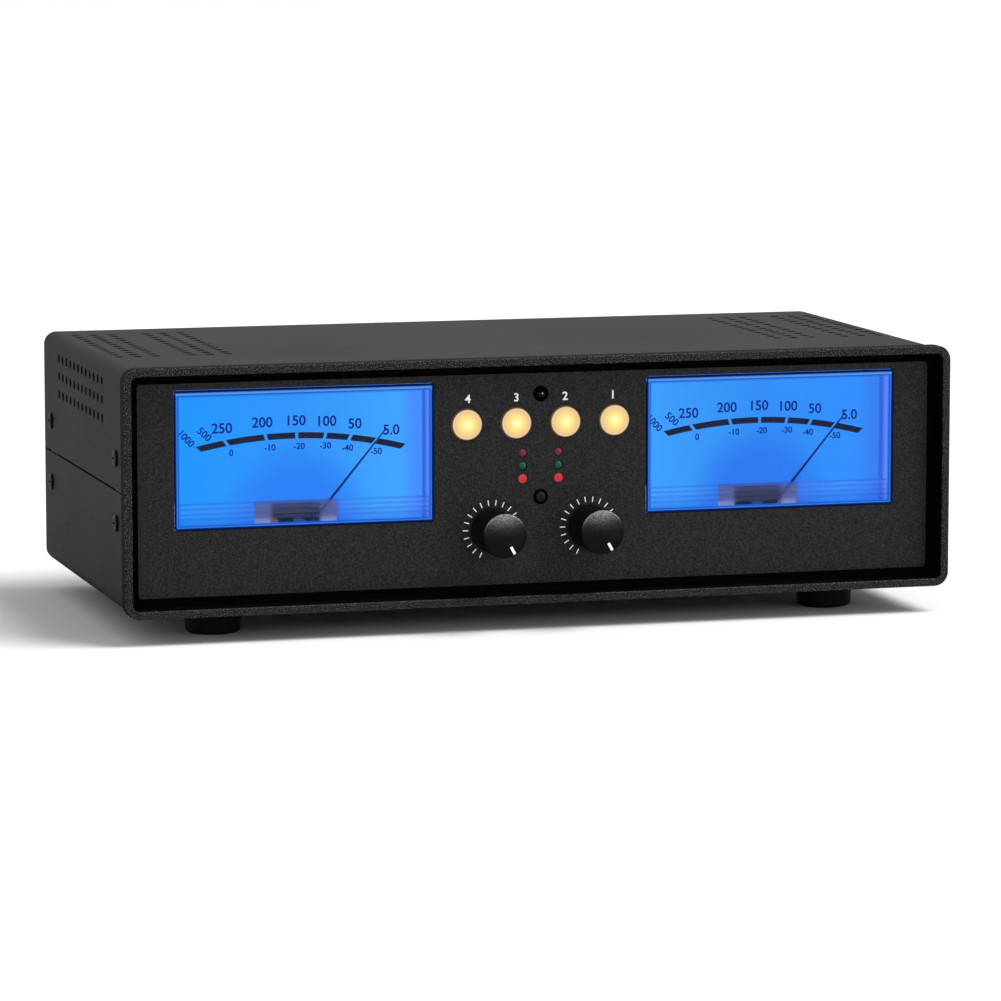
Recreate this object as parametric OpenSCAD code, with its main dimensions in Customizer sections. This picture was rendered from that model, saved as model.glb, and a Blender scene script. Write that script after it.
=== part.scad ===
// Desktop twin analog level meter with a four-way channel selector.
// Millimetres. X runs to the right of the front, Y away from the viewer,
// Z up. Origin: centre of the footprint box, on the surface it stands on.

/* [Case] */
// Width of the front bezel, the widest piece
case_w = 280; // [250:1:320]
// Height of the front bezel
case_h = 80.6; // [72:0.2:92]
// Depth from the bezel's front to the rear plate's outer face
case_d = 138; // [136:1:180]
// Thickness of the folded sheet steel
sheet_t = 0.8; // [0.6:0.1:1]
// Outside radius of the long folds
bend_r = 4.3; // [3:0.1:6]
// Height of the seam between cover and tray above the bezel's bottom
seam_z = 39.9; // [37:0.1:43]
// Open gap at the seam
seam_gap = 0.7; // [0.3:0.1:1.2]
// Height of the feet below the bezel's bottom
foot_h = 8.7; // [7:0.1:14]
// Radius of a foot where it meets the tray
foot_r = 9.5; // [8:0.1:11]
// Rounding of a foot's lower edge
foot_edge = 1.2; // [0.5:0.1:2.5]
// Distance of the feet's centres from the front and the rear of the case
foot_in = 27; // [24:1:38]
// Distance of the feet's centres from the sides of the case
foot_side = 34.5; // [32:0.5:40]

/* [Vents] */
// Radius of one round vent hole
vent_r = 1.55; // [1:0.05:2]
// Pitch of the holes along the depth
vent_pitch_y = 6.6; // [6.4:0.1:7]
// Pitch between rows of holes
vent_pitch_x = 6.1; // [5:0.1:6.3]
// Distance of the first hole from the bezel's front, on the top
vent_top_y = 47; // [44:0.5:49]
// Distance of the first hole from the bezel's front, on the sides
vent_side_y = 38.2; // [36:0.2:40]

/* [Front] */
// Wall of the bezel, seen from the front
bezel_wall = 2.6; // [2.4:0.1:3.2]
// How far the bezel stands out past the shell
bezel_proud = 0.8; // [0.6:0.1:1]
// Depth of the bezel's visible outer band
bezel_band = 5.2; // [4:0.2:6]
// Outer corner radius of the bezel
bezel_r = 4.7; // [3.5:0.1:6]
// Recess of the front plate behind the bezel's front
panel_recess = 6.8; // [6.4:0.1:8]
// Shadow gap between the bezel's wall and the front plate
panel_gap = 3.15; // [2.8:0.05:3.3]
// Thickness of the front plate
panel_t = 2; // [1.5:0.1:3]
// Chamfer round the bezel's front edges
bezel_edge = 0.35; // [0.2:0.05:0.6]

/* [Meters] */
// Margin from the front plate's side edge to the window
win_side = 11.85; // [11.5:0.05:12.5]
// Width of the plate's middle field, between the two windows
field_w = 72; // [64.5:0.5:81]
// Margin from the front plate's top edge to the windows
win_top_gap = 2.15; // [2.1:0.05:2.6]
// Margin from the front plate's bottom edge to the windows
win_low_gap = 21.45; // [20.9:0.05:24]
// Distance of the dial behind the front plate's face
dial_depth = 12; // [11.6:0.1:13]
// Height of the needle's axis below the window's bottom edge
pivot_drop = 5.6; // [5.2:0.1:6]
// Room above the needle's tip when it stands upright
needle_room = 3.6; // [3:0.1:12]
// Angle of the needle at rest, right of upright
needle_rest = 39.8; // [30:0.1:49]

/* [Controls] */
// Radius of a channel button's cap
button_r = 5.15; // [4.5:0.05:5.5]
// Running gap around each button's cap
button_gap = 0.2; // [0.1:0.05:0.4]
// Travel of a channel button
button_travel = 0.5; // [0.3:0.1:0.6]
// Distance between channel buttons
button_pitch = 16.7; // [15:0.1:16.8]
// Depth of the channel buttons' row below the plate's top edge
button_drop = 16.2; // [15.5:0.1:16.5]
// Radius of a knob
knob_r = 7.3; // [6.9:0.1:8]
// Rounding of a knob's face edge
knob_edge = 0.5; // [0.2:0.1:1]
// Height of a knob's face above the front plate
knob_h = 15.5; // [13:0.1:18]
// Distance of each knob's axis from the middle
knob_x = 16.5; // [15:0.1:17]
// Depth of the knobs' axes below the plate's top edge
knob_drop = 51.1; // [50:0.1:52]
// Distance of each lamp column from the middle
led_x = 6.1; // [5:0.1:7]

/* [Rear] */
// Thickness of the rear plate
rear_t = 2; // [1.5:0.1:2.5]
// Outer radius of a phono socket's metal shell
phono_r = 4.15; // [4.1:0.05:4.2]
// Length of a phono socket behind the rear plate
phono_out = 11.5; // [10:0.5:13]
// Distance between phono pairs
phono_pitch = 28; // [22:1:30]
// Height of the lower sockets above the main board
phono_rise = 12; // [10:0.5:14]
// Distance between the two rows of sockets
phono_step = 16; // [14:0.5:18]
// Distance of the last pair to the right of the middle
phono_last = 16; // [10:1:20]
// Depth of a pair's housing
block_d = 14; // [12:0.5:16]
// Distance of the power inlet from the side of the case
inlet_in = 35.6; // [30:0.2:40]
// Depth of the main board
board_d = 93; // [80:1:100]

/* [Hidden] */
$fn = 48;
shaft_r = 3;
eps = 0.01;
// sheet shell
sh_w = case_w - 2 * bezel_proud;
sh_top = case_h - bezel_proud;
sh_bot = bezel_proud;
in_x = sh_w / 2 - sheet_t;
in_top = sh_top - sheet_t;
in_bot = sh_bot + sheet_t;
seat = 0.15;
strap_h = 32;
strap_w = 10;
rear_screw_x = in_x - 28.4;
// front plate
edge = bezel_wall + panel_gap;
pan_w = case_w - 2 * edge;
pan_top = case_h - edge;
pan_bot = edge;
pf = panel_recess;
pb = pf + panel_t;
ring_t = 2.2;
ring_y = pb + ring_t;
lap = 1.3;
stud_x = pan_w / 2 - 4.05;
stud_z1 = pan_bot + 6.25;
stud_z2 = pan_top - 6.25;
// windows and meters
win_w = (pan_w - field_w) / 2 - win_side;
win_top = pan_top - win_top_gap;
win_bot = pan_bot + win_low_gap;
meter_x = pan_w / 2 - win_side - win_w / 2;
plug_x = win_w / 2 - 0.2;
cav_x = plug_x - 0.9;
box_x = plug_x + 1;
box_top = win_top + 0.3;
cav_top = win_top - 1.1;
pivot_z = win_bot - pivot_drop;
needle_len = cav_top - pivot_z - needle_room;
box_bot = pivot_z - 11.1;
cav_bot = box_bot + 1.5;
dial_t = 0.8;
dial_y = pf + dial_depth;
rim_y = dial_y + dial_t;
case_back = rim_y + 16.4;
ear_x = plug_x - 5;
term_x = 20;
ear_z = box_bot - 2.1;
core_r = 4.6;
// controls
gap_y = 7.2;
board_y = pb + gap_y;
board_t = 1.6;
switch_h = 2.9;
well_y = board_y - switch_h + 1.5 + button_travel;
board_x = 1.5 * button_pitch + 5.25;
post_x = board_x - 3;
post_z1 = pan_bot + 7.75;
post_z2 = pan_top - 4.1;
row_z = pan_top - button_drop;
ir_z = row_z + 9.4;
led_z = pan_top - 26.1;
led_pitch = 4.25;
mode_z = pan_top - 40.7;
knob_z = pan_top - knob_drop;
knob_out = knob_h - panel_recess;
// rear
rear_face = case_d;
rear_in = rear_face - rear_t;
rear_screw_in = 4;
post_h = 5;
main_z = in_bot + post_h;
main_top = main_z + board_t;
main_y2 = rear_face - 5;
main_y1 = main_y2 - board_d;
low_z = main_top + phono_rise;
high_z = low_z + phono_step;
phono_x0 = phono_last - 4 * phono_pitch;
block_w = 12;
collar_t = 2.2;
tip_y = case_d + phono_out;
relay_w = 10;
relay_d = 16;
relay_h = 11.5;
relay_y = rear_in - block_d - 12.5;
cap_r = 4;
dc_x = case_w / 2 - inlet_in;
front_y = -(case_d + phono_out - knob_out) / 2;
seam_step = 10.5;
plate_y1 = 16.5;
plate_y2 = case_d - 12.5;
lug_x = 60;
lug_y = ring_y + 6;

// ---- helpers: case frame and shapes along the depth ----

module at_case() translate([0, front_y, foot_h]) children();

module at_meter(s) at_case() translate([s * meter_x, 0, 0]) children();

// round rod along the depth from y0 to y1, centred at x, z
module rod(x, z, r, y0, y1) {
  translate([x, y1, z])
    rotate([90, 0, 0])
      cylinder(r = r, h = y1 - y0);
}

// flat shape drawn as x, z and run from y0 to y1
module slab(y0, y1) {
  translate([0, y1, 0])
    rotate([90, 0, 0])
      linear_extrude(height = y1 - y0)
        children();
}

// box from its low and high corners
module box(a, b) {
  translate(a)
    cube([b[0] - a[0], b[1] - a[1], b[2] - a[2]]);
}

// rectangle with round corners, from x, z corners
module round_rect(x0, z0, x1, z1, r) {
  translate([x0 + r, z0])
    square([x1 - x0 - 2 * r, z1 - z0]);
  translate([x0, z0 + r])
    square([x1 - x0, z1 - z0 - 2 * r]);
  for (x = [x0 + r, x1 - r])
    for (z = [z0 + r, z1 - r])
      translate([x, z])
        circle(r = r);
}

// closed frame with round corners: its section, drawn as distance out from the
// corners' centres and depth, runs along the four sides, and a second one, a
// hair smaller, turns at the corners
module framed(x0, z0, x1, z1, r) {
  at = [[x1 - r, z0 + r], [x0 + r, z0 + r], [x0 + r, z1 - r], [x1 - r, z1 - r]];
  for (k = [0:3])
    translate([at[k][0], 0, at[k][1]])
      rotate([0, 90 * k, 0]) {
        translate([0, 0, -eps])
          linear_extrude(height = (k % 2 == 0 ? z1 - z0 : x1 - x0) - 2 * r + 2 * eps)
            children(0);
        rotate([-90, 0, 0])
          rotate_extrude(angle = 90)
            children(1);
      }
}

// turned piece along the depth: its section is drawn as radius and depth
module turned(x, z) {
  translate([x, 0, z])
    rotate([-90, 0, 0])
      rotate_extrude()
        children();
}

// hexagon across flats f along the depth
module hex(x, z, f, y0, y1) {
  translate([x, y1, z])
    rotate([90, 0, 0])
      cylinder(r = f / 2 / cos(30), h = y1 - y0, $fn = 6);
}

// pan head screw along +X from its head's seat, at y, z
module pan_screw_x(len, r, head_r, head_h) {
  rotate([0, 90, 0])
    cylinder(r = r, h = len);
  rotate([0, -90, 0])
    difference() {
      pan_head(head_r, head_h);
      translate([0, 0, head_h - 0.8])
        cross_slot();
    }
}

// low domed head, seated at z = 0
module pan_head(r, h) {
  rotate_extrude()
    polygon([[0, 0], [r, 0], [r, 0.45 * h], [0.88 * r, 0.82 * h], [0.6 * r, h], [0, h]]);
}

// cross recess cut from a screw's head
module cross_slot() {
  translate([-1.5, -0.3, 0])
    cube([3, 0.6, 1]);
  translate([-0.3, -1.5, 0])
    cube([0.6, 3, 1]);
}

// screw standing up: head below z = 0, shank above
module pan_screw_up(len, r, head_r, head_h) {
  cylinder(r = r, h = len);
  difference() {
    rotate([180, 0, 0])
      pan_head(head_r, head_h);
    translate([0, 0, -head_h - 0.2])
      cross_slot();
  }
}

// ---- folded sheet shell ----

// whole tube of sheet, before the seam parts it
module sheet_tube(y0, y1) {
  slab(y0, y1)
    difference() {
      round_rect(-sh_w / 2, sh_bot, sh_w / 2, sh_top, bend_r);
      round_rect(-in_x, in_bot, in_x, in_top, bend_r - sheet_t);
    }
}

// 144 round holes in four groups on the top
module top_vents() {
  for (s = [-1, 1])
    for (g = [0, 1])
      for (i = [0:2])
        for (k = [0:11])
          translate([s * (sh_w / 2 - 7.6 - (i + 4 * g - g * 0.03) * vent_pitch_x),
                     vent_top_y + k * vent_pitch_y, in_top - 1])
            cylinder(r = vent_r, h = sheet_t + 2);
}

// 36 round holes on each side, three rows of twelve
module side_vents() {
  for (i = [0:2])
    for (k = [0:11])
      translate([-sh_w / 2 - 1, vent_side_y + k * vent_pitch_y,
                 sh_top - 6.7 - i * vent_pitch_x])
        rotate([0, 90, 0])
          cylinder(r = vent_r, h = sh_w + 2);
}

module top_cover() color([0.13, 0.13, 0.13]) at_case() {
  difference() {
    union() {
      sheet_tube(bezel_band, rear_in);
      // welded angle that takes the rear plate's upper screws
      box([-in_x + 14, rear_in - 10, in_top - 1], [in_x - 14, rear_in, in_top + eps]);
      box([-in_x + 14, rear_in - 1, in_top - 8], [in_x - 14, rear_in, in_top - 1 + eps]);
    }
    box([-case_w, -1, -1], [case_w, case_d + 1, seam_z + seam_gap / 2]);
    top_vents();
    side_vents();
    for (s = [-1, 1])
      for (y = [plate_y1, plate_y2])
        translate([s * sh_w / 2, y, seam_z + seam_step])
          rotate([0, 90, 0])
            cylinder(r = 1.7, h = 6, center = true);
    for (k = [-1:1])
      rod(k * rear_screw_x, in_top - rear_screw_in, 1.25, rear_in - 2, rear_in + 1);
  }
}

module bottom_tray() color([0.12, 0.12, 0.12]) at_case() {
  difference() {
    union() {
      sheet_tube(bezel_band, rear_in);
      box([-in_x + 14, rear_in - 10, in_bot - eps], [in_x - 14, rear_in, in_bot + 1]);
      box([-in_x + 14, rear_in - 1, in_bot + 1 - eps], [in_x - 14, rear_in, in_bot + 6.4]);
    }
    box([-case_w, -1, seam_z - seam_gap / 2], [case_w, case_d + 1, case_h + 1]);
    for (s = [-1, 1])
      for (y = [plate_y1, plate_y2])
        translate([s * sh_w / 2, y, seam_z - seam_step])
          rotate([0, 90, 0])
            cylinder(r = 1.7, h = 6, center = true);
    for (k = [-1:1])
      rod(k * rear_screw_x, in_bot + rear_screw_in, 1.25, rear_in - 2, rear_in + 1);
    // feet, bezel lugs and board standoffs
    for (s = [-1, 1]) {
      for (y = [foot_in, case_d - foot_in])
        translate([s * (case_w / 2 - foot_side), y, 0])
          cylinder(r = 1.7, h = 4);
      translate([s * lug_x, lug_y, 0])
        cylinder(r = 1.7, h = 4);
    }
    for (p = standoff_at())
      translate([p[0], p[1], 0])
        cylinder(r = 1.25, h = 4);
    // floor vents: two fields of slots with round ends
    for (s = [-1, 1])
      for (k = [0:7])
        translate([s * 52 + (k - 3.5) * 6, case_d / 2, 0]) {
          translate([-1.25, -14, 0])
            cube([2.5, 28, 4]);
          for (y = [-14, 14])
            translate([0, y, 0])
              cylinder(r = 1.25, h = 4);
        }
  }
}

// straps inside the four corners of the seam, tapped for the side screws
module joining_plates() color([0.62, 0.63, 0.65]) at_case() {
  for (s = [-1, 1])
    for (y = [plate_y1, plate_y2])
      difference() {
        translate([s > 0 ? in_x - 2 : -in_x, y - strap_w / 2, seam_z - strap_h / 2])
          cube([2, strap_w, strap_h]);
        for (z = [-seam_step, seam_step])
          translate([s * in_x, y, seam_z + z])
            rotate([0, 90, 0])
              cylinder(r = 1.5, h = 8, center = true);
      }
}

module side_screws() color([0.08, 0.08, 0.08]) at_case() {
  for (s = [-1, 1])
    for (y = [plate_y1, plate_y2])
      for (z = [-seam_step, seam_step])
        translate([s * sh_w / 2, y, seam_z + z])
          rotate([0, 0, s > 0 ? 180 : 0])
            pan_screw_x(4.5, 1.45, 2.8, 0.9);
}

// ---- front bezel and plate ----

// section of the bezel's band, less a hair on all sides
module bezel_section(hair) {
  ir = bezel_r - bezel_wall;
  polygon([[ir + bezel_edge, hair], [bezel_r - bezel_edge, hair],
           [bezel_r - hair, bezel_edge], [bezel_r - hair, bezel_band - hair],
           [ir + hair, bezel_band - hair], [ir + hair, bezel_edge]]);
}

module front_bezel() color([0.1, 0.1, 0.1]) at_case() {
  iw = case_w / 2 - bezel_wall;
  ir = bezel_r - bezel_wall;
  // outer band with its chamfered front edges
  framed(-case_w / 2, 0, case_w / 2, case_h, bezel_r) {
    bezel_section(0);
    bezel_section(eps);
  }
  difference() {
    union() {
      slab(bezel_band - eps, ring_y)
        round_rect(-in_x + seat, in_bot + seat, in_x - seat, in_top - seat,
                   bend_r - sheet_t - seat);
      // lugs screwed to the tray from below
      for (s = [-1, 1])
        box([s * lug_x - 6, ring_y - eps, in_bot], [s * lug_x + 6, ring_y + 12, in_bot + 5.4]);
    }
    slab(-1, pb)
      round_rect(-iw, bezel_wall, iw, case_h - bezel_wall, ir);
    slab(pb - eps, ring_y + 1)
      round_rect(-pan_w / 2 + 8.2, pan_bot + lap, pan_w / 2 - 8.2, pan_top - lap, 2);
    for (s = [-1, 1]) {
      for (z = [stud_z1, stud_z2])
        rod(s * stud_x, z, 1.6, pb - 1, ring_y + 1);
      translate([s * lug_x, lug_y, in_bot - 1])
        cylinder(r = 1.5, h = 5.5);
    }
  }
}

module front_panel() color([0.14, 0.14, 0.14]) at_case() {
  difference() {
    slab(pf, pb)
      round_rect(-pan_w / 2, pan_bot, pan_w / 2, pan_top, 1);
    for (s = [-1, 1]) {
      slab(pf - 1, pb + 1)
        round_rect(s * meter_x - win_w / 2, win_bot, s * meter_x + win_w / 2, win_top, 1);
      for (x = [0.5, 1.5])
        rod(s * x * button_pitch, row_z, button_r + button_gap, pf - 1, pb + 1);
      rod(s * knob_x, knob_z, 3.6, pf - 1, pb + 1);
      for (k = [0:2])
        rod(s * led_x, led_z - k * led_pitch, 1.55, pf - 1, pb + 1);
    }
    rod(0, ir_z, 2.6, pf - 1, pb + 1);
    rod(0, mode_z, 2.55, pf - 1, pb + 1);
  }
  // welded studs on the back
  for (s = [-1, 1]) {
    for (z = [stud_z1, stud_z2])
      rod(s * stud_x, z, 1.45, pb - eps, ring_y + 4);
    for (e = [-1, 1])
      rod(s * meter_x + e * ear_x, ear_z, 1, pb - eps, rim_y + 4.6);
  }
}

module panel_nuts() color([0.7, 0.71, 0.73]) at_case() {
  for (s = [-1, 1]) {
    for (z = [stud_z1, stud_z2])
      difference() {
        hex(s * stud_x, z, 5.5, ring_y, ring_y + 2.4);
        rod(s * stud_x, z, 1.5, ring_y - 1, ring_y + 4);
      }
    for (e = [-1, 1])
      difference() {
        hex(s * meter_x + e * ear_x, ear_z, 3.8, rim_y + 2, rim_y + 3.6);
        rod(s * meter_x + e * ear_x, ear_z, 1.05, rim_y + 1, rim_y + 5);
      }
    // washer and hexagon nut of each control, under its knob
    difference() {
      union() {
        rod(s * knob_x, knob_z, 5.4, pf - 0.5, pf);
        hex(s * knob_x, knob_z, 9, pf - 2.5, pf - 0.5 + eps);
      }
      rod(s * knob_x, knob_z, 3.55, pf - 4, pf + 1);
    }
  }
}

// ---- rear plate, sockets and boards ----

module rear_panel() color([0.13, 0.13, 0.13]) at_case() {
  difference() {
    slab(rear_in, rear_face)
      round_rect(-sh_w / 2 + 0.1, sh_bot + 0.1, sh_w / 2 - 0.1, sh_top - 0.1, bend_r - 0.1);
    for (k = [0:4])
      for (z = [low_z, high_z])
        rod(phono_x0 + k * phono_pitch, z, phono_r - 0.5, rear_in - 1, rear_face + 1);
    rod(dc_x, low_z, 4.2, rear_in - 1, rear_face + 1);
    for (x = [-1:1])
      for (z = [in_bot + rear_screw_in, in_top - rear_screw_in])
        rod(x * rear_screw_x, z, 1.6, rear_in - 1, rear_face + 1);
  }
}

module rear_screws() color([0.08, 0.08, 0.08]) at_case() {
  for (k = [-1:1])
    for (z = [in_bot + rear_screw_in, in_top - rear_screw_in])
      translate([k * rear_screw_x, rear_face, z])
        rotate([0, 0, -90])
          pan_screw_x(4, 1.2, 2.6, 1.4);
}

module main_board() color([0.05, 0.22, 0.12]) at_case() {
  difference() {
    box([-in_x + 13, main_y1, main_z], [in_x - 13, main_y2, main_top]);
    for (p = standoff_at())
      translate([p[0], p[1], main_z - 1])
        cylinder(r = 1.6, h = 4);
  }
}

function standoff_at() = [
  [-in_x + 18, main_y1 + 5], [0, main_y1 + 5], [in_x - 18, main_y1 + 5],
  [-in_x + 18, main_y2 - 16], [in_x - 18, main_y2 - 16]
];

module standoffs() color([0.78, 0.62, 0.3]) at_case() {
  for (p = standoff_at())
    translate([p[0], p[1], in_bot])
      difference() {
        cylinder(r = 2.75, h = post_h);
        translate([0, 0, 1])
          cylinder(r = 1.3, h = post_h);
      }
}

// relays and filter capacitors on the main board
module relays() color([0.1, 0.12, 0.16]) at_case() {
  for (k = [0:4])
    translate([phono_x0 + k * phono_pitch - relay_w / 2, relay_y - relay_d / 2, main_top])
      cube([relay_w, relay_d, relay_h]);
  for (k = [0:2])
    translate([dc_x - 3 * cap_r * k, relay_y - 26, main_top])
      cylinder(r = cap_r, h = relay_h + 1);
}

module phono_blocks() color([0.06, 0.06, 0.06]) at_case() {
  for (k = [0:4])
    difference() {
      box([phono_x0 + k * phono_pitch - block_w / 2, rear_in - block_d, main_top],
          [phono_x0 + k * phono_pitch + block_w / 2, rear_in, high_z + block_w / 2]);
      for (z = [low_z, high_z])
        rod(phono_x0 + k * phono_pitch, z, phono_r - 0.6, rear_in - 5, rear_in + 1);
    }
}

module phono_shells() color([0.8, 0.78, 0.72]) at_case() {
  for (k = [0:4])
    for (z = [low_z, high_z]) {
      x = phono_x0 + k * phono_pitch;
      difference() {
        rod(x, z, phono_r, rear_face + collar_t, tip_y);
        rod(x, z, phono_r - 0.65, rear_face, tip_y + 1);
      }
      difference() {
        rod(x, z, 2.3, rear_in - 5, tip_y - 6);
        rod(x, z, 1.65, rear_in - 2, tip_y - 5);
      }
    }
}

// coloured insulator: a collar outside the rear plate and a core in the shell
module phono_collar(x, z) {
  difference() {
    union() {
      rod(x, z, phono_r + 1.65, rear_face, rear_face + collar_t);
      rod(x, z, phono_r - 0.7, rear_in - 5, tip_y - 6);
    }
    rod(x, z, 2.35, rear_in - 6, tip_y);
  }
}

module phono_collars_red() color([0.6, 0.05, 0.05]) at_case() {
  for (k = [0:4])
    phono_collar(phono_x0 + k * phono_pitch, low_z);
}

module phono_collars_white() color([0.85, 0.85, 0.83]) at_case() {
  for (k = [0:4])
    phono_collar(phono_x0 + k * phono_pitch, high_z);
}

module dc_inlet() color([0.05, 0.05, 0.05]) at_case() {
  x = dc_x;
  difference() {
    union() {
      box([x - 4.6, rear_in - block_d + 1, main_top], [x + 4.6, rear_in, low_z + 4.6]);
      rod(x, low_z, 4, rear_in - eps, rear_face + 0.4);
    }
    rod(x, low_z, 2.75, rear_face - 9.5, rear_face + 1);
  }
  rod(x, low_z, 1, rear_face - 9.5 - eps, rear_face - 0.5);
}

// ---- feet and fasteners below ----

module foot(sx, y) {
  at_case() translate([sx * (case_w / 2 - foot_side), y, -foot_h])
    difference() {
      rotate_extrude()
        polygon(concat(
          [[0, 0]],
          [for (a = [0:18:90]) [foot_r - 0.4 - foot_edge * (1 - sin(a)), foot_edge * (1 - cos(a))]],
          [[foot_r, foot_h + sh_bot], [0, foot_h + sh_bot]]));
      translate([0, 0, -1])
        cylinder(r = 4, h = 5);
      translate([0, 0, 3])
        cylinder(r = 1.7, h = foot_h + 2);
    }
}

module foot_front_left() color([0.05, 0.05, 0.05]) foot(-1, foot_in);
module foot_front_right() color([0.05, 0.05, 0.05]) foot(1, foot_in);
module foot_rear_left() color([0.05, 0.05, 0.05]) foot(-1, case_d - foot_in);
module foot_rear_right() color([0.05, 0.05, 0.05]) foot(1, case_d - foot_in);

// screws through the feet with nuts on the tray, and the bezel's two screws
module underside_screws() color([0.66, 0.67, 0.69]) at_case() {
  for (s = [-1, 1]) {
    for (y = [foot_in, case_d - foot_in]) {
      translate([s * (case_w / 2 - foot_side), y, -foot_h + 4])
        pan_screw_up(foot_h + in_bot - 4 + 3.4, 1.45, 2.8, 1.8);
      translate([s * (case_w / 2 - foot_side), y, in_bot])
        difference() {
          cylinder(r = 2.75 / cos(30), h = 2.4, $fn = 6);
          translate([0, 0, -1])
            cylinder(r = 1.5, h = 5);
        }
    }
    translate([s * lug_x, lug_y, sh_bot])
      pan_screw_up(sheet_t + 4, 1.45, 2.8, 1.8);
  }
}

// ---- one meter, drawn in its own x ----

// clear stepped cover: a plug through the plate and a box behind it
module meter_cover(s) at_meter(s) {
  difference() {
    union() {
      slab(pf, pb + eps)
        round_rect(-plug_x, win_bot + 0.2, plug_x, win_top - 0.2, 0.8);
      slab(pb, rim_y)
        round_rect(-box_x, box_bot, box_x, box_top, 1);
    }
    // chamber behind the lens
    slab(pf + 1.5, pb + 1.5 + eps)
      round_rect(-cav_x, win_bot + 1.1, cav_x, cav_top, 0.5);
    slab(pb + 1.5, rim_y + 1)
      round_rect(-cav_x, cav_bot, cav_x, cav_top, 0.5);
    // fine ribs moulded on the inside of the lens's lower part
    for (k = [0:8])
      box([-cav_x + 0.6, pf + 1.1, win_bot + 1.5 + k * 0.8],
          [cav_x - 0.6, pf + 1.5 + eps, win_bot + 1.9 + k * 0.8]);
  }
}

module meter_cover_left() color([0.75, 0.85, 1, 0.3]) meter_cover(-1);
module meter_cover_right() color([0.75, 0.85, 1, 0.3]) meter_cover(1);

// opaque housing behind the dial, with ears on the plate's studs
module meter_case(s) at_meter(s) {
  difference() {
    union() {
      slab(rim_y, case_back)
        round_rect(-box_x, box_bot, box_x, box_top, 1);
      for (e = [-1, 1])
        box([e * ear_x - 3, rim_y, ear_z - 2], [e * ear_x + 3, rim_y + 2, box_bot + 1]);
    }
    slab(rim_y - 1, case_back - 1.6)
      round_rect(-cav_x + 1.1, cav_bot, cav_x - 1.1, cav_top - 0.1, 0.5);
    for (e = [-1, 1]) {
      rod(e * ear_x, ear_z, 1.1, rim_y - 1, rim_y + 3);
      rod(e * term_x, pivot_z + 24, 1.5, case_back - 3, case_back + 1);
    }
  }
  // bosses that carry the movement
  for (e = [-1, 1])
    rod(e * 11, pivot_z + 8.6, 2.2, rim_y + 1.4, case_back - 1.6 + eps);
}

module meter_case_left() color([0.86, 0.87, 0.88]) meter_case(-1);
module meter_case_right() color([0.86, 0.87, 0.88]) meter_case(1);

// translucent dial sheet, cut out at the bottom for the movement
module dial_plate(s) at_meter(s) {
  slab(dial_y, rim_y)
    difference() {
      round_rect(-cav_x + 0.1, cav_bot + 0.1, cav_x - 0.1, cav_top - 0.1, 0.5);
      translate([-14.2, cav_bot - 1])
        square([28.4, win_bot + 7.3 - cav_bot + 1]);
    }
}

module dial_plate_left() color([0.2, 0.6, 1]) dial_plate(-1);
module dial_plate_right() color([0.2, 0.6, 1]) dial_plate(1);

// turns a moving piece about the needle's axis to its rest angle
module at_axis(s) at_meter(s)
  translate([0, 0, pivot_z])
    rotate([0, needle_rest, 0])
      children();

// pointer stamped from thin sheet, with its tail weight
module needle(s) at_axis(s) {
  difference() {
    union() {
      slab(dial_y - 1.9, dial_y - 1.6)
        union() {
          polygon([[-0.55, 0], [-0.17, needle_len], [0.17, needle_len], [0.55, 0]]);
          circle(r = 2);
          translate([-0.7, -6])
            square([1.4, 6]);
        }
      rod(0, -6, 1.3, dial_y - 1.9, dial_y - 0.9);
    }
    rod(0, 0, 0.4, dial_y - 3, dial_y);
  }
}

module needle_left() color([0.04, 0.04, 0.05]) needle(-1);
module needle_right() color([0.04, 0.04, 0.05]) needle(1);

// rectangular coil round the core, its two pivots and the hairspring
module moving_coil(s) at_axis(s) {
  difference() {
    box([-6.2, dial_y, -2], [6.2, rim_y + 11.8, 2]);
    box([-5.4, dial_y + 0.8, -3], [5.4, rim_y + 11, 3]);
  }
  rod(0, 0, 1.2, dial_y - 1.6, dial_y + eps);
  rod(0, 0, 0.35, dial_y - 4.4, dial_y - 1.6 + eps);
  rod(0, 0, 0.35, rim_y + 11.8 - eps, rim_y + 13.4);
  // hairspring: half turns of growing radius on a collet
  rod(0, 0, 0.9, dial_y - 3.1, dial_y - 2.5);
  for (k = [0:6])
    slab(dial_y - 3, dial_y - 2.6)
      intersection() {
        translate([k % 2 == 0 ? 0 : 0.35, 0])
          difference() {
            circle(r = 0.97 + k * 0.35);
            circle(r = 0.83 + k * 0.35);
          }
        translate([-6, k % 2 == 0 ? -eps : -6])
          square([12, 6]);
      }
}

module moving_coil_left() color([0.72, 0.38, 0.2]) moving_coil(-1);
module moving_coil_right() color([0.72, 0.38, 0.2]) moving_coil(1);

module core_magnet(s) at_meter(s)
  rod(0, pivot_z, core_r, rim_y + 1, rim_y + 10);

module core_magnet_left() color([0.3, 0.3, 0.32]) core_magnet(-1);
module core_magnet_right() color([0.3, 0.3, 0.32]) core_magnet(1);

// soft iron ring round the coil, and the spider that holds the core
module yoke(s) at_meter(s) {
  difference() {
    rod(0, pivot_z, 9, rim_y + 1.4, rim_y + 10);
    rod(0, pivot_z, 6.9, rim_y, rim_y + 12);
  }
  rod(0, pivot_z, 4, rim_y + 10, rim_y + 10.6);
  box([-1.3, rim_y + 10, pivot_z - 8.4], [1.3, rim_y + 10.6, pivot_z + 8.4]);
  for (e = [-1, 1])
    translate([0, 0, pivot_z + e * 7.7])
      box([-1.3, rim_y + 9.9, -0.6], [1.3, rim_y + 10.3, 0.6]);
}

module yoke_left() color([0.5, 0.51, 0.53]) yoke(-1);
module yoke_right() color([0.5, 0.51, 0.53]) yoke(1);

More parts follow.
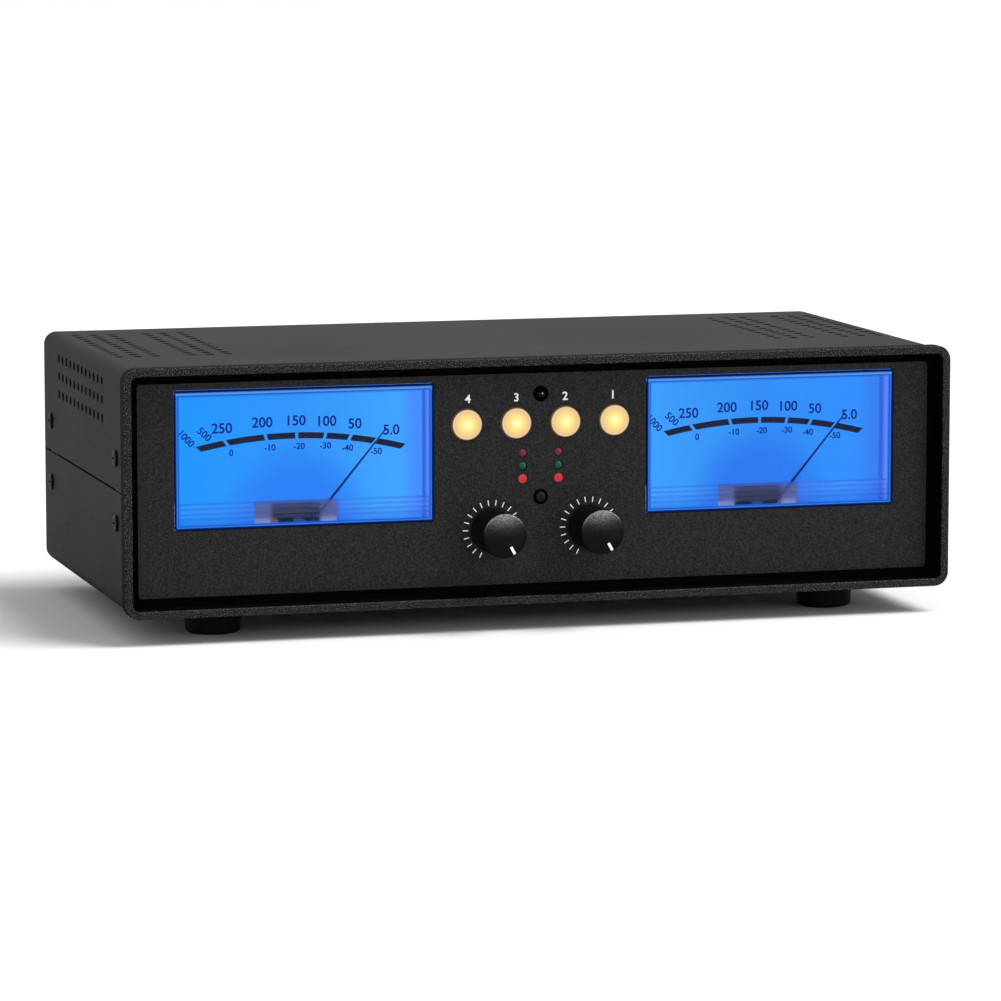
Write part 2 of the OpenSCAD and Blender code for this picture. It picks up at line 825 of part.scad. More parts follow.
// frame plate with the front and rear bearing straps
module bearing_frame(s) at_meter(s) {
  difference() {
    union() {
      slab(rim_y + 0.2, rim_y + 1.4)
        round_rect(-13.6, cav_bot + 0.4, 13.6, pivot_z + 11.8, 1.5);
      for (e = [-1, 1]) {
        rod(e * 10.4, pivot_z, 1.2, dial_y - 4, rim_y + 0.2 + eps);
        rod(e * 10.4, pivot_z, 1.1, rim_y + 1.4 - eps, rim_y + 12.4 + eps);
      }
      box([-11.8, dial_y - 4.8, pivot_z - 1.6], [11.8, dial_y - 4 + eps, pivot_z + 1.6]);
      box([-11.8, rim_y + 12.4, pivot_z - 1.6], [11.8, rim_y + 13.6, pivot_z + 1.6]);
    }
    rod(0, pivot_z, 6.9, rim_y, rim_y + 2);
    rod(0, pivot_z, 0.4, dial_y - 4.6, dial_y - 3);
    rod(0, pivot_z, 0.4, rim_y + 12, rim_y + 13.5);
  }
}

module bearing_frame_left() color([0.75, 0.6, 0.5]) bearing_frame(-1);
module bearing_frame_right() color([0.75, 0.6, 0.5]) bearing_frame(1);

// strips of lamps under the roof of each meter's housing
module backlights() color([0.9, 0.95, 1]) {
  for (s = [-1, 1])
    at_meter(s) {
      box([-cav_x + 4.1, rim_y + 3, cav_top - 1.1], [cav_x - 4.1, rim_y + 12, cav_top - 0.1]);
      for (k = [-2:2])
        box([k * 15 - 1.75, rim_y + 6, cav_top - 1.9], [k * 15 + 1.75, rim_y + 8.8, cav_top - 1.1 + eps]);
    }
}

// brass studs with nuts on the back of each meter
module meter_terminals() color([0.8, 0.64, 0.3]) {
  for (s = [-1, 1])
    at_meter(s)
      for (e = [-1, 1]) {
        rod(e * term_x, pivot_z + 24, 2.5, case_back - 3.2, case_back - 1.6);
        rod(e * term_x, pivot_z + 24, 1.45, case_back - 1.6 - eps, case_back + 6);
        hex(e * term_x, pivot_z + 24, 5.5, case_back, case_back + 2.2);
      }
}

// ---- buttons, lamps and controls ----

// lit cap with a low dome, retaining flange and plunger
module channel_button(x) at_case() {
  difference() {
    union() {
      turned(x, row_z)
        polygon(concat(
          [for (k = [0:6]) [(button_r - 0.2) * k / 6, pf - 0.95 + 0.3 * pow(k / 6, 2)]],
          [[button_r, pf - 0.45], [button_r, pb + 1.2], [0, pb + 1.2]]));
      rod(x, row_z, button_r + 0.85, pb + 0.25, pb + 1.2);
      rod(x, row_z, 1.5, pb + 1.2 - eps, board_y - switch_h + 0.8);
    }
    // hollow back of the cap round its plunger
    difference() {
      rod(x, row_z, button_r - 1.1, pf + 0.8, pb + 3);
      rod(x, row_z, 1.5, pf, pb + 4);
    }
  }
}

module channel_button_1() color([1, 0.72, 0.35]) channel_button(1.5 * button_pitch);
module channel_button_2() color([1, 0.72, 0.35]) channel_button(0.5 * button_pitch);
module channel_button_3() color([1, 0.72, 0.35]) channel_button(-0.5 * button_pitch);
module channel_button_4() color([1, 0.72, 0.35]) channel_button(-1.5 * button_pitch);

// five small push switches on the control board
module switches() color([0.08, 0.08, 0.08]) at_case() {
  for (x = [-1.5, -0.5, 0.5, 1.5])
    difference() {
      box([x * button_pitch - 3, board_y - switch_h, row_z - 3],
          [x * button_pitch + 3, board_y, row_z + 3]);
      rod(x * button_pitch, row_z, 1.55, board_y - 4, well_y);
    }
  difference() {
    box([-3, board_y - switch_h, mode_z - 3], [3, board_y, mode_z + 3]);
    rod(0, mode_z, 1.05, board_y - 4, well_y);
  }
}

module mode_button() color([0.05, 0.05, 0.05]) at_case() {
  turned(0, mode_z)
    polygon([[0, pf - 0.5], [1.2, pf - 0.45], [1.65, pf - 0.3], [1.85, pf],
             [1.85, pb + 1.1], [0, pb + 1.1]]);
  rod(0, mode_z, 3.1, pb + 0.25, pb + 1.1);
  rod(0, mode_z, 1, pb + 1.1 - eps, board_y - switch_h + 0.8);
}

// receiver for the remote: dome, body and legs
module ir_receiver() color([0.03, 0.03, 0.03]) at_case() {
  translate([0, pf + 1, ir_z])
    sphere(r = 2.5);
  rod(0, ir_z, 2.5, pf + 1, pb + 0.5);
  box([-3, pb + 0.4, ir_z - 3.2], [3, pb + 3.6, ir_z + 3]);
  for (x = [-2.2, 0, 2.2])
    box([x - 0.25, pb + 3.6 - eps, ir_z - 2.6], [x + 0.25, board_y, ir_z - 2.1]);
}

// round 3 mm lamp with its flange and legs
module lamp(x, z, out) at_case() {
  translate([x, pf - out + 1.5, z])
    sphere(r = 1.5);
  rod(x, z, 1.5, pf - out + 1.5, pb + 0.4);
  rod(x, z, 1.9, pb + 0.3, pb + 1.3);
  for (e = [-1, 1])
    rod(x + e * 0.9, z, 0.25, pb + 1.3 - eps, board_y);
}

module lamp_pair(k, out) {
  for (s = [-1, 1])
    lamp(s * led_x, led_z - k * led_pitch, out);
}

module leds_upper() color([0.55, 0.1, 0.12]) lamp_pair(0, 0.5);
module leds_middle() color([0.05, 0.35, 0.2]) lamp_pair(1, 0.5);
module leds_lower() color([1, 0.2, 0.25]) lamp_pair(2, 1);

module control_board() color([0.05, 0.22, 0.12]) at_case() {
  difference() {
    box([-board_x, board_y, pan_bot + 4.25], [board_x, board_y + board_t, pan_top + 0.1]);
    for (s = [-1, 1])
      for (z = [post_z1, post_z2])
        rod(s * post_x, z, 1.6, board_y - 1, board_y + 3);
  }
}

// threaded posts from the front plate to the control board
module board_posts() color([0.78, 0.62, 0.3]) at_case() {
  for (s = [-1, 1])
    for (z = [post_z1, post_z2])
      difference() {
        rod(s * post_x, z, 2.4, pb, board_y);
        rod(s * post_x, z, 1.3, board_y - 5, board_y + 1);
      }
}

// screws of the control board and of the main board
module board_screws() color([0.7, 0.71, 0.73]) at_case() {
  for (s = [-1, 1])
    for (z = [post_z1, post_z2])
      translate([s * post_x, board_y + board_t, z])
        rotate([0, 0, -90])
          pan_screw_x(5, 1.25, 2.6, 1.4);
  for (p = standoff_at())
    translate([p[0], p[1], main_top])
      rotate([180, 0, 0])
        pan_screw_up(4.8, 1.25, 2.6, 1.4);
}

// slim knob with a hollow skirt, blind bore and pointer groove
module knob(s) at_case() translate([s * knob_x, 0, knob_z]) {
  difference() {
    turned(0, 0)
      polygon(concat(
        [[0, pf - knob_h]],
        [for (a = [0:30:90]) [knob_r - knob_edge * (1 - sin(a)), pf - knob_h + knob_edge * (1 - cos(a))]],
        [[knob_r, pf - 0.9], [knob_r - 0.3, pf - 0.6], [0, pf - 0.6]]));
    rod(0, 0, 6.1, pf - 3.6, pf);
    rod(0, 0, shaft_r + 0.03, pf - 12.5, pf);
    rotate([0, -29, 0])
      box([-0.42, pf - knob_h - 1, -knob_r + 0.5], [0.42, pf - knob_h + 0.25, -knob_r + 3.7]);
  }
}

module knob_left() color([0.07, 0.07, 0.07]) knob(-1);
module knob_right() color([0.07, 0.07, 0.07]) knob(1);

module pot_shaft(s) at_case()
  rod(s * knob_x, knob_z, shaft_r, pf - 12.5, pb + 4);

module pot_shaft_left() color([0.75, 0.76, 0.78]) pot_shaft(-1);
module pot_shaft_right() color([0.75, 0.76, 0.78]) pot_shaft(1);

// body and threaded bush of each rotary control
module pot_bodies() color([0.35, 0.36, 0.38]) at_case() {
  for (s = [-1, 1])
    translate([s * knob_x, 0, knob_z])
      difference() {
        union() {
          box([-5, pb, -6], [5, board_y, 5.5]);
          rod(0, 0, 3.5, pf - 3.2, pb + eps);
        }
        rod(0, 0, shaft_r + 0.05, pf - 5, pb + 4);
      }
}

top_cover();
bottom_tray();
front_bezel();
front_panel();
rear_panel();
joining_plates();
side_screws();
rear_screws();
panel_nuts();
foot_front_left();
foot_front_right();
foot_rear_left();
foot_rear_right();
underside_screws();
meter_cover_left();
meter_cover_right();
meter_case_left();
meter_case_right();
dial_plate_left();
dial_plate_right();
needle_left();
needle_right();
moving_coil_left();
moving_coil_right();
core_magnet_left();
core_magnet_right();
yoke_left();
yoke_right();
bearing_frame_left();
bearing_frame_right();
backlights();
meter_terminals();
channel_button_1();
channel_button_2();
channel_button_3();
channel_button_4();
switches();
mode_button();
ir_receiver();
leds_upper();
leds_middle();
leds_lower();
control_board();
board_posts();
board_screws();
knob_left();
knob_right();
pot_shaft_left();
pot_shaft_right();
pot_bodies();
main_board();
standoffs();
relays();
phono_shells();
phono_blocks();
phono_collars_red();
phono_collars_white();
dc_inlet();
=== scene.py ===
import math

import bmesh
import bpy
from mathutils import Matrix, Vector


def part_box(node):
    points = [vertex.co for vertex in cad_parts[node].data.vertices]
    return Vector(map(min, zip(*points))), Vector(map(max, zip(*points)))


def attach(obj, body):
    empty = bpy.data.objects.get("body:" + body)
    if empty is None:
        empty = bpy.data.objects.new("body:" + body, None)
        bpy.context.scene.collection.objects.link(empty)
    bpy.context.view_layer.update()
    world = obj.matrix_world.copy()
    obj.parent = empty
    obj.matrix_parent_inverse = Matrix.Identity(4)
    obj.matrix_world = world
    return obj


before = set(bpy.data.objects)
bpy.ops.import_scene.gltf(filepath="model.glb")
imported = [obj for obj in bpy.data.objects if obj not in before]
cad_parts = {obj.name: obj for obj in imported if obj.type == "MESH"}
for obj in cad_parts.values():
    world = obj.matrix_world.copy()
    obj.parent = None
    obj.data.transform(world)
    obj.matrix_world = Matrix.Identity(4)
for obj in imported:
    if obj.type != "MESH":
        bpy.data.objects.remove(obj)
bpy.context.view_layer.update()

# ---------------------------------------------------------------------------
# Camera. A long lens, a little above the case and 16 degrees to the left of
# its front. The aim is a yaw and a pitch, with no roll.
camera_data = bpy.data.cameras.new("camera")
camera_data.sensor_width = 36
camera_data.lens = 181.27
camera_data.clip_start = 0.05
camera_data.clip_end = 40
camera = bpy.data.objects.new("camera", camera_data)
bpy.context.scene.collection.objects.link(camera)
camera.location = (-0.461813, -1.630962, 0.257352)
aim_yaw, aim_pitch = 0.2785, -0.1313
camera.rotation_mode = "QUATERNION"
camera.rotation_quaternion = Vector((
    math.sin(aim_yaw) * math.cos(aim_pitch),
    math.cos(aim_yaw) * math.cos(aim_pitch),
    math.sin(aim_pitch),
)).to_track_quat("-Z", "Y")
bpy.context.scene.camera = camera
bpy.context.scene.view_settings.view_transform = "Standard"


# ---------------------------------------------------------------------------
# Studio. White paper on the floor, an even room, a broad key light high on
# the right and a small lamp at the front. The paper keeps the case's shadow.
def linear(hex_colour):
    """Linear RGBA of an sRGB hex colour such as 2b2b2b."""
    channels = [int(hex_colour[i:i + 2], 16) / 255 for i in (0, 2, 4)]
    return tuple(c / 12.92 if c <= 0.04045 else ((c + 0.055) / 1.055) ** 2.4
                 for c in channels) + (1.0,)


def blank(name):
    """A new material with an empty tree and its output node."""
    material = bpy.data.materials.new(name)
    material.use_nodes = True
    material.node_tree.nodes.clear()
    material.node_tree.nodes.new("ShaderNodeOutputMaterial")
    return material


def add(material, kind, settings=None, links=None):
    """Adds a node with its settings and links, and returns it."""
    tree = material.node_tree
    node = tree.nodes.new(kind)
    for key, value in (settings or {}).items():
        if isinstance(key, int) or key in node.inputs:
            node.inputs[key].default_value = value
        else:
            setattr(node, key, value)
    for key, source in (links or {}).items():
        tree.links.new(source, node.inputs[key])
    return node


def finish_with(material, shader):
    """Joins a shader's socket to the material's output."""
    tree = material.node_tree
    out = next(n for n in tree.nodes if n.type == "OUTPUT_MATERIAL")
    tree.links.new(shader, out.inputs["Surface"])
    return material


# seamless paper: matt white, and exposed in the picture so that the open
# paper is the white of the page and only the shadow under the case is darker
paper = blank("seamless_paper_matt")
paper_light = add(paper, "ShaderNodeLightPath")
paper_matt = add(paper, "ShaderNodeBsdfDiffuse", {"Color": linear("f2f2f2")})
paper_page = add(paper, "ShaderNodeBsdfDiffuse", {"Color": (1.25, 1.25, 1.25, 1)})
paper_seen = add(paper, "ShaderNodeMixShader", links={
    0: paper_light.outputs["Is Camera Ray"], 1: paper_matt.outputs[0], 2: paper_page.outputs[0]})
finish_with(paper, paper_seen.outputs[0])

sweep_mesh = bpy.data.meshes.new("paper_sweep")
sweep_form = bmesh.new()
bmesh.ops.create_grid(sweep_form, x_segments=1, y_segments=1, size=6)
sweep_form.to_mesh(sweep_mesh)
sweep_form.free()
sweep_mesh.materials.append(paper)
sweep = bpy.data.objects.new("paper_sweep", sweep_mesh)
bpy.context.scene.collection.objects.link(sweep)
sweep.location = (0, 0, -0.0002)

# the room: white wherever the camera, a gloss or a clear piece looks at it
world = bpy.data.worlds.new("studio")
bpy.context.scene.world = world
world.use_nodes = True
world.node_tree.nodes.clear()
room_path = add(world, "ShaderNodeLightPath")
room_level = add(world, "ShaderNodeBackground", {"Color": (1, 1, 1, 1), "Strength": 0.4})
room_page = add(world, "ShaderNodeBackground", {"Color": (1, 1, 1, 1), "Strength": 1.0})
room_shone = add(world, "ShaderNodeMath", {"operation": "MAXIMUM"},
                 {0: room_path.outputs["Is Glossy Ray"],
                  1: room_path.outputs["Is Transmission Ray"]})
room_seen = add(world, "ShaderNodeMath", {"operation": "MAXIMUM"},
                {0: room_path.outputs["Is Camera Ray"], 1: room_shone.outputs[0]})
room_mix = add(world, "ShaderNodeMixShader", links={
    0: room_seen.outputs[0], 1: room_level.outputs[0], 2: room_page.outputs[0]})
add(world, "ShaderNodeOutputWorld", links={"Surface": room_mix.outputs[0]})


def hang(lamp, place, direction):
    """Hangs a lamp at a place, turned so that it shines in a direction."""
    holder = bpy.data.objects.new(lamp.name, lamp)
    bpy.context.scene.collection.objects.link(holder)
    holder.location = place
    holder.rotation_mode = "QUATERNION"
    holder.rotation_quaternion = Vector(direction).to_track_quat("-Z", "Y")


# the key is a broad even source high on the right, the same all over the floor
key = bpy.data.lights.new("key_sun", "SUN")
key.energy = 1.95
key.angle = 0.6
hang(key, (0, 0, 0), (-0.45, 0.25, -0.85))

# the small lamp at the front right lifts the dark faces that look that way
glint = bpy.data.lights.new("glint_lamp", "AREA")
glint.size = 0.3
glint.energy = 3
hang(glint, (1.3, -1.65, 0.55), (-1.3, 1.58, -0.47))


# ---------------------------------------------------------------------------
# Shell. Two folded covers of 0.8 mm steel and a thicker rear plate, sprayed
# with a fine black powder that bakes to a satin skin with an even grain. The
# grain is drawn a little coarser than it is, so that it shows.
mm = 0.001
front_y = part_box("front_bezel")[0].y
bezel_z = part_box("front_bezel")[0].z


def dress(names, material):
    """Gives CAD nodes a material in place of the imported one."""
    for name in names:
        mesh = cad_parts[name].data
        mesh.materials.clear()
        mesh.materials.append(material)


def powder_coat(name, colour, fleck, grain_mm, roughness, depth, level,
                painted_wall=None, skin_mm=99.0, sparse=0.42):
    """Baked powder: a dark satin skin whose tiny bumps catch the light."""
    coat = blank(name)
    place = add(coat, "ShaderNodeTexCoord")
    grain = add(coat, "ShaderNodeTexNoise",
                {"Scale": 1000 / grain_mm, "Detail": 2.0, "Roughness": 0.6},
                {"Vector": place.outputs["Object"]})
    cloud = add(coat, "ShaderNodeTexNoise", {"Scale": 14.0, "Detail": 1.0},
                {"Vector": place.outputs["Object"]})
    tone = add(coat, "ShaderNodeMapRange", {"From Min": sparse, "From Max": 0.68},
               {"Value": grain.outputs["Fac"]})
    skin = add(coat, "ShaderNodeMix", {"data_type": "RGBA", 6: linear(colour), 7: linear(fleck)},
               {0: tone.outputs["Result"]})
    gloss = add(coat, "ShaderNodeMapRange",
                {"To Min": roughness - 0.05, "To Max": roughness + 0.05},
                {"Value": cloud.outputs["Fac"]})
    bump = add(coat, "ShaderNodeBump", {"Strength": 0.6, "Distance": depth * mm},
               {"Height": grain.outputs["Fac"]})
    body = add(coat, "ShaderNodeBsdfPrincipled", {"IOR": 1.45, "Specular IOR Level": level},
               {"Base Color": skin.outputs[2], "Roughness": gloss.outputs["Result"],
                "Normal": bump.outputs["Normal"]})
    if painted_wall is None:
        return finish_with(coat, body.outputs[0])
    # painted shade: the walls, and what lies deeper than skin_mm, get a smooth and much darker
    # skin
    turned = add(coat, "ShaderNodeNewGeometry")
    axes = add(coat, "ShaderNodeSeparateXYZ", links={0: turned.outputs["Normal"]})
    facing = add(coat, "ShaderNodeMath", {"operation": "ABSOLUTE"}, {0: axes.outputs["Y"]})
    spot_on = add(coat, "ShaderNodeSeparateXYZ", links={0: place.outputs["Object"]})
    outer = add(coat, "ShaderNodeMapRange",
                {"From Min": front_y + (skin_mm + 0.3) * mm,
                 "From Max": front_y + (skin_mm - 0.3) * mm},
                {"Value": spot_on.outputs["Y"]})
    square_on = add(coat, "ShaderNodeMapRange", {"From Min": 0.3, "From Max": 0.6},
                    {"Value": facing.outputs[0]})
    front = add(coat, "ShaderNodeMath", {"operation": "MULTIPLY"},
                {0: square_on.outputs["Result"], 1: outer.outputs["Result"]})
    faint = add(coat, "ShaderNodeMath", {"operation": "MULTIPLY", 1: 0.3},
                {0: tone.outputs["Result"]})
    painted_shade_tone = add(coat, "ShaderNodeMix",
                    {"data_type": "RGBA", 6: linear(painted_wall), 7: linear(colour)},
                    {0: faint.outputs[0]})
    painted_shade_body = add(coat, "ShaderNodeBsdfPrincipled",
                    {"IOR": 1.45, "Specular IOR Level": 0.05, "Roughness": 0.7},
                    {"Base Color": painted_shade_tone.outputs[2]})
    both = add(coat, "ShaderNodeMixShader", links={
        0: front.outputs[0], 1: painted_shade_body.outputs[0], 2: body.outputs[0]})
    return finish_with(coat, both.outputs[0])


shell_coat = powder_coat(
    "powder_coated_steel_satin_black", "0e0e0e", "2c2c2c", 0.5, 0.6, 0.06, 0.1)
dress(["top_cover", "bottom_tray", "rear_panel"], shell_coat)


# ---------------------------------------------------------------------------
# Fasteners. Pan-head screws and the straps that they pull the covers onto:
# blackened steel outside, zinc-plated steel inside and below.
def plated_metal(name, colour, shade, roughness, patch_mm):
    """Plated or turned metal: a cloudy sheen with fine rubbed patches."""
    metal = blank(name)
    place = add(metal, "ShaderNodeTexCoord")
    cloud = add(metal, "ShaderNodeTexNoise", {"Scale": 1000 / patch_mm, "Detail": 3.0},
                {"Vector": place.outputs["Object"]})
    tone = add(metal, "ShaderNodeMix", {"data_type": "RGBA", 6: linear(colour), 7: linear(shade)},
               {0: cloud.outputs["Fac"]})
    gloss = add(metal, "ShaderNodeMapRange",
                {"To Min": roughness - 0.08, "To Max": roughness + 0.1},
                {"Value": cloud.outputs["Fac"]})
    body = add(metal, "ShaderNodeBsdfPrincipled", {"Metallic": 1.0},
               {"Base Color": tone.outputs[2], "Roughness": gloss.outputs["Result"]})
    return finish_with(metal, body.outputs[0])


black_oxide = plated_metal("black_oxide_steel", "101011", "080809", 0.5, 2.0)
zinc_plate = plated_metal("zinc_plated_steel", "b9bcc0", "8f9499", 0.32, 3.0)
dress(["side_screws", "rear_screws"], black_oxide)
dress(["joining_plates", "underside_screws", "panel_nuts", "board_screws"], zinc_plate)


# ---------------------------------------------------------------------------
# Bezel. One heavy frame moulded in black ABS with a coarse spark grain, so
# its narrow face glitters more than the sprayed sheet around it. The channel
# inside it and the frame's walls carry painted shade, a smooth and much darker skin.
bezel_abs = powder_coat("moulded_abs_spark_grain", "080808", "787878", 0.32, 0.5, 0.08, 0.12,
                        painted_wall="030303", skin_mm=1.1, sparse=0.52)
dress(["front_bezel"], bezel_abs)


# ---------------------------------------------------------------------------
# Front plate. Thick aluminium with the same fine powder coat, printed in
# white: a number over each channel button and a ring of ticks at each knob.
# the walls of its holes and its edges carry painted shade, a smooth and much darker skin
plate_coat = powder_coat("powder_coated_aluminium_fine", "101010", "363636", 0.45, 0.55, 0.05,
                         0.22, painted_wall="040404")
dress(["front_panel"], plate_coat)

plate_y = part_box("channel_button_1")[0].y + 0.95 * mm
ink_skin = 0.03 * mm


def piece(name, form, material, body):
    """Turns a finished bmesh into a piece that rides on a body."""
    mesh = bpy.data.meshes.new(name)
    form.to_mesh(mesh)
    form.free()
    mesh.materials.append(material)
    made = bpy.data.objects.new(name, mesh)
    bpy.context.scene.collection.objects.link(made)
    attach(made, body)


def figures(form, words, x, z, face_y, tall, tilt=0.0, heavy=0.0):
    """Adds printed figures to a bmesh, centred at x and z, tall in mm."""
    curve = bpy.data.curves.new("figures", "FONT")
    curve.body = words
    curve.resolution_u = 6
    curve.offset = heavy
    holder = bpy.data.objects.new("figures", curve)
    bpy.context.scene.collection.objects.link(holder)
    bpy.context.view_layer.update()
    flat = bpy.data.meshes.new_from_object(holder)
    bpy.data.objects.remove(holder)
    xs = [v.co.x for v in flat.vertices]
    ys = [v.co.y for v in flat.vertices]
    grow = tall * mm / (max(ys) - min(ys))
    # flat text stands up against the plate, and then turns to its tilt
    move = (Matrix.Translation((x * mm, face_y, bezel_z + z * mm))
            @ Matrix.Rotation(math.radians(-tilt), 4, "Y")
            @ Matrix.Rotation(math.radians(90), 4, "X")
            @ Matrix.Scale(grow, 4)
            @ Matrix.Translation((-(max(xs) + min(xs)) / 2, -(max(ys) + min(ys)) / 2, 0)))
    flat.transform(move)
    form.from_mesh(flat)
    bpy.data.meshes.remove(flat)


def raise_ink(form, skin):
    """Gives flat print its thin closed body, standing out to the front."""
    bmesh.ops.remove_doubles(form, verts=form.verts, dist=1e-7)
    out = bmesh.ops.extrude_face_region(form, geom=list(form.faces))
    moved = [g for g in out["geom"] if isinstance(g, bmesh.types.BMVert)]
    bmesh.ops.translate(form, verts=moved, vec=(0, -skin, 0))
    bmesh.ops.recalc_face_normals(form, faces=form.faces)


def bar(form, x, z, face_y, wide, long, turn):
    """Adds a flat bar to a bmesh, long in mm along its turned height."""
    made = bmesh.ops.create_grid(form, x_segments=1, y_segments=1, size=0.5 * mm)
    bmesh.ops.transform(form, verts=made["verts"], matrix=(
        Matrix.Translation((x * mm, face_y, bezel_z + z * mm))
        @ Matrix.Rotation(math.radians(turn), 4, "Y")
        @ Matrix.Rotation(math.radians(90), 4, "X")
        @ Matrix.Diagonal((wide, long, 1, 1))))


def printed(name, colour, speck, roughness, level, glow=0.0):
    """Screen ink: matt, with the faint pinholes of a woven screen."""
    ink = blank(name)
    place = add(ink, "ShaderNodeTexCoord")
    pores = add(ink, "ShaderNodeTexNoise", {"Scale": 1000 / 0.25, "Detail": 1.0},
                {"Vector": place.outputs["Object"]})
    tone = add(ink, "ShaderNodeMix", {"data_type": "RGBA", 6: linear(colour), 7: linear(speck)},
               {0: pores.outputs["Fac"]})
    body = add(ink, "ShaderNodeBsdfPrincipled",
               {"Roughness": roughness, "Specular IOR Level": level, "Emission Strength": glow},
               {"Base Color": tone.outputs[2], "Emission Color": tone.outputs[2]})
    return finish_with(ink, body.outputs[0])


# a faint painted glow makes the white ink read whiter than the lamps alone light it
white_ink = printed("white_screen_ink", "ffffff", "eeeeee", 0.6, 0.4, 0.3)

numerals_form = bmesh.new()
for label, x in (("4", -24.7), ("3", -8.3), ("2", 8.3), ("1", 24.6)):
    figures(numerals_form, label, x, 67.1, plate_y, 2.8, heavy=0.018)
raise_ink(numerals_form, ink_skin)
piece("channel_numerals", numerals_form, white_ink, "chassis")

knob_x, knob_z = 16.5, 23.75
tick_count, tick_start, tick_sweep = 20, 25.5, 309
tick_far, tick_wide, tick_long = 9.0, 0.3, 1.8
ticks_form = bmesh.new()
for side in (-1, 1):
    for k in range(tick_count):
        turn = tick_start + k * tick_sweep / (tick_count - 1)
        swing = math.radians(turn)
        bar(ticks_form, side * knob_x - tick_far * math.sin(swing),
            knob_z - tick_far * math.cos(swing), plate_y, tick_wide, tick_long, turn)
raise_ink(ticks_form, ink_skin)
piece("knob_scales", ticks_form, white_ink, "chassis")


# ---------------------------------------------------------------------------
# Feet. Four turned-down rubber feet, moulded black with a soft matt bloom,
# each held by a screw that sits deep in its middle.
rubber = powder_coat("moulded_black_rubber", "0a0a0a", "141414", 1.2, 0.7, 0.03, 0.15)
dress(["foot_front_left", "foot_front_right", "foot_rear_left", "foot_rear_right"], rubber)


# ---------------------------------------------------------------------------
# Meter covers. Each is a moulded box of clear acrylic that fills its window,
# with fine ribs inside its lower edge; the lamps' blue at its rim and walls is painted glow.
meter_x = 79.2
window_half, window_low, window_high = 43.2, 27.2, 72.7
rib_top, rib_foot, rib_pair = 36.1, 29.65, 1.6
lens_front, lens_back, dial_depth = 7.3, 8.3, 18.8
rim_width = 2.4


